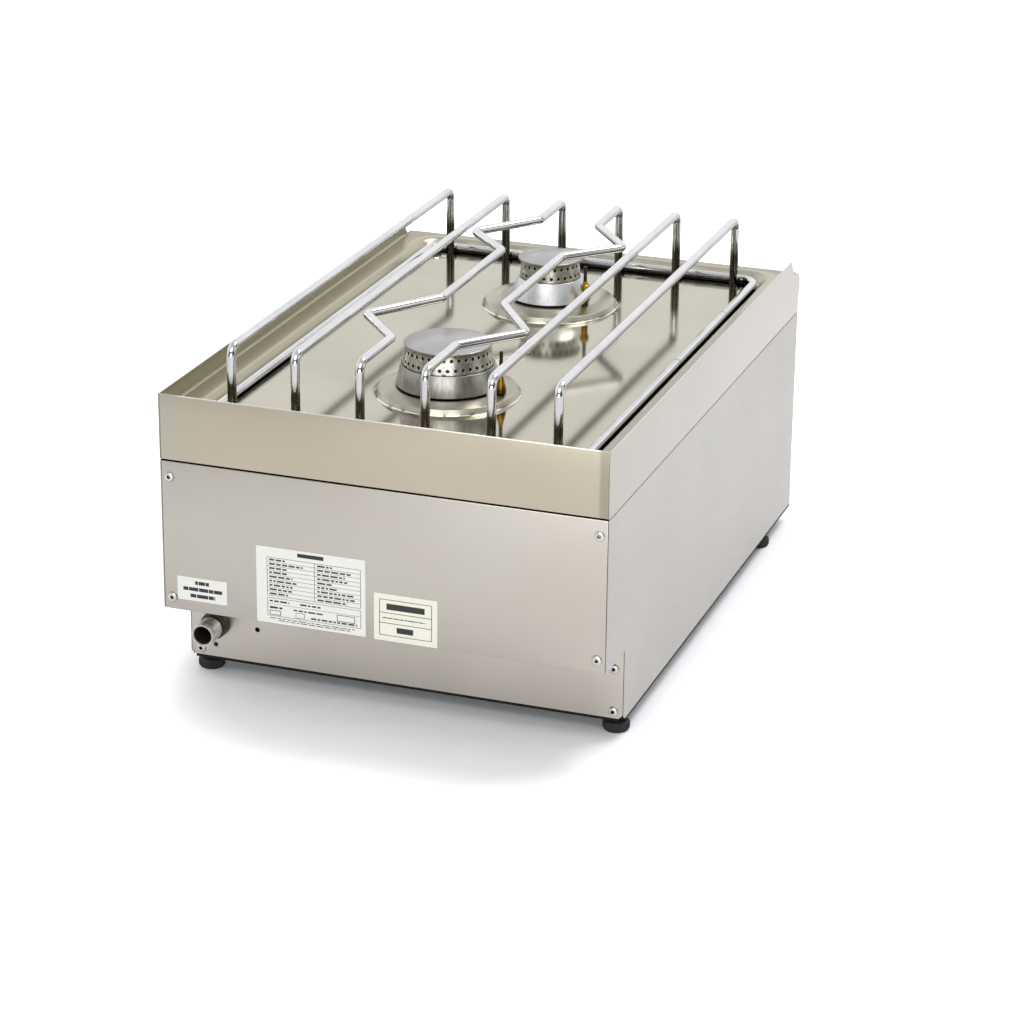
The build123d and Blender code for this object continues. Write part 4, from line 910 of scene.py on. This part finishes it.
# The plinth panel takes the copy of the panel steel that is painted lighter as painted light
for entry in frame["record"]["subparts"]:
    shown = frame["nodes"][entry["node"]]
    shown.data.materials.clear()
    shown.data.materials.append(plinth_steel if entry["node"] == "plinth_panel" else FINISHES[entry["material_slot"]])


# Studio: pale floor, white surround, soft lamps, camera. Lengths here are metres

def studio_floor():
    """Pale paper, greyer to reflections than to the camera, that turns white away from the casing."""
    floor_mesh = bpy.data.meshes.new("studio_floor")
    floor_mesh.from_pydata([(-6, -6, 0), (6, -6, 0), (6, 6, 0), (-6, 6, 0)], [], [(0, 1, 2, 3)])
    floor = bpy.data.objects.new("studio_floor", floor_mesh)
    bpy.context.scene.collection.objects.link(floor)
    paper, tree, shader, place = new_material("pale_paper_sweep", Roughness=0.9)
    grain = noise(tree, place, 40.0, 3.0, 0.5)
    lit = ramp(tree, grain, ((0.3, "#F6F8FB"), (0.7, "#FAFCFE")))
    seen = add_node(tree, "ShaderNodeLightPath").outputs["Is Camera Ray"]
    tree.links.new(mixed(tree, seen, colour("#DADAD9"), lit), shader.inputs["Base Color"])
    shader.inputs["Emission Color"].default_value = colour("#FFFFFF")
    # The reach is sqrt((x/0.2 + 0.18)^4 + (y/0.31)^4), and the glow grows with it
    spread = add_node(tree, "ShaderNodeMapping", {"Vector": place, "Location": (0.18, 0.0, 0.0),
                                                  "Scale": (1 / 0.20, 1 / 0.31, 0.0)}).outputs[0]
    squared = add_node(tree, "ShaderNodeVectorMath", {0: spread, 1: spread}, operation="MULTIPLY")
    reach = add_node(tree, "ShaderNodeVectorMath", {0: squared.outputs[0]}, operation="LENGTH")
    glow = mapped(tree, reach.outputs["Value"], 1.30, 2.45, 0.035, 0.8, "SMOOTHSTEP")
    tree.links.new(combined(tree, "MULTIPLY", seen, glow), shader.inputs["Emission Strength"])
    floor_mesh.materials.append(paper)


def surround():
    """White to the camera. To reflections bright beyond the casing and dim low on the camera's side."""
    world = bpy.data.worlds.new("studio_surround")
    bpy.context.scene.world = world
    world.use_nodes = True
    tree = world.node_tree
    tree.nodes.clear()
    direction = split(tree, add_node(tree, "ShaderNodeTexCoord").outputs["Generated"])
    height = direction["Z"]
    behind = ramp(tree, height, ((0.0, 0.85), (0.12, 0.95), (0.36, 1.08), (0.60, 0.95), (1.0, 0.62)))
    ahead = ramp(tree, height, ((0.0, 0.04), (0.24, 0.06), (0.40, 0.26), (0.66, 0.60), (1.0, 0.66)))
    toward = combined(tree, "MULTIPLY_ADD", direction["X"], -0.9, direction["Y"])
    room = mapped(tree, toward, -0.35, 0.25, kind="SMOOTHSTEP")
    bright = mixed(tree, room, behind, ahead)
    seen = add_node(tree, "ShaderNodeLightPath").outputs["Is Camera Ray"]
    back = add_node(tree, "ShaderNodeBackground",
                    {"Color": mixed(tree, seen, bright, (1, 1, 1, 1)), "Strength": 1.0})
    add_node(tree, "ShaderNodeOutputWorld", {"Surface": back.outputs[0]})


def facing_frame(side, up, backward, place):
    """Matrix of a lamp or camera from its own three directions and its place."""
    turn = np.eye(4)
    turn[:3, 0], turn[:3, 1], turn[:3, 2], turn[:3, 3] = side, up, backward, place
    return Matrix(turn.tolist())


def lamps():
    """Soft boxes, each turned to the middle of the casing: name, place, size, power."""
    middle = np.array((0, 0, 0.2))
    for name, place, size, power in (
            ("top_softbox", (-0.9, -0.8, 2.4), (1.0, 1.0), 30.0),
            ("front_softbox", (-0.4, 2.5, 2.7), (2.4, 1.8), 33.0),
            ("low_softbox", (-0.7, 3.3, 0.70), (2.8, 1.1), 30.0),
            ("side_softbox", (-3.0, -0.4, 0.9), (1.6, 1.2), 6.0)):
        lamp_data = bpy.data.lights.new(name, "AREA")
        lamp_data.shape = "RECTANGLE"
        lamp_data.size, lamp_data.size_y = size
        lamp_data.energy = power
        lamp = bpy.data.objects.new(name, lamp_data)
        bpy.context.scene.collection.objects.link(lamp)
        away = middle - np.array(place)
        away = away / np.linalg.norm(away)
        side = np.cross(away, (0.0, 0.1, 1.0))
        side /= np.linalg.norm(side)
        lamp.matrix_world = facing_frame(side, np.cross(side, away), -away, place)


def camera():
    """Camera fitted to the photograph: right, up and backward directions and place."""
    lens = bpy.data.cameras.new("photo_view")
    lens.sensor_width = 36.0
    lens.lens = 112.723
    lens.clip_end = 30.0
    eye = bpy.data.objects.new("photo_view", lens)
    bpy.context.scene.collection.objects.link(eye)
    eye.matrix_world = facing_frame((-0.943028, -0.332558, 0.010216), (0.129229, -0.337812, 0.932300),
                                    (-0.306593, 0.880505, 0.361542), (-0.91797, 2.61406, 1.15820))
    bpy.context.scene.camera = eye


studio_floor()
surround()
lamps()
camera()
bpy.context.scene.view_settings.view_transform = "Standard"
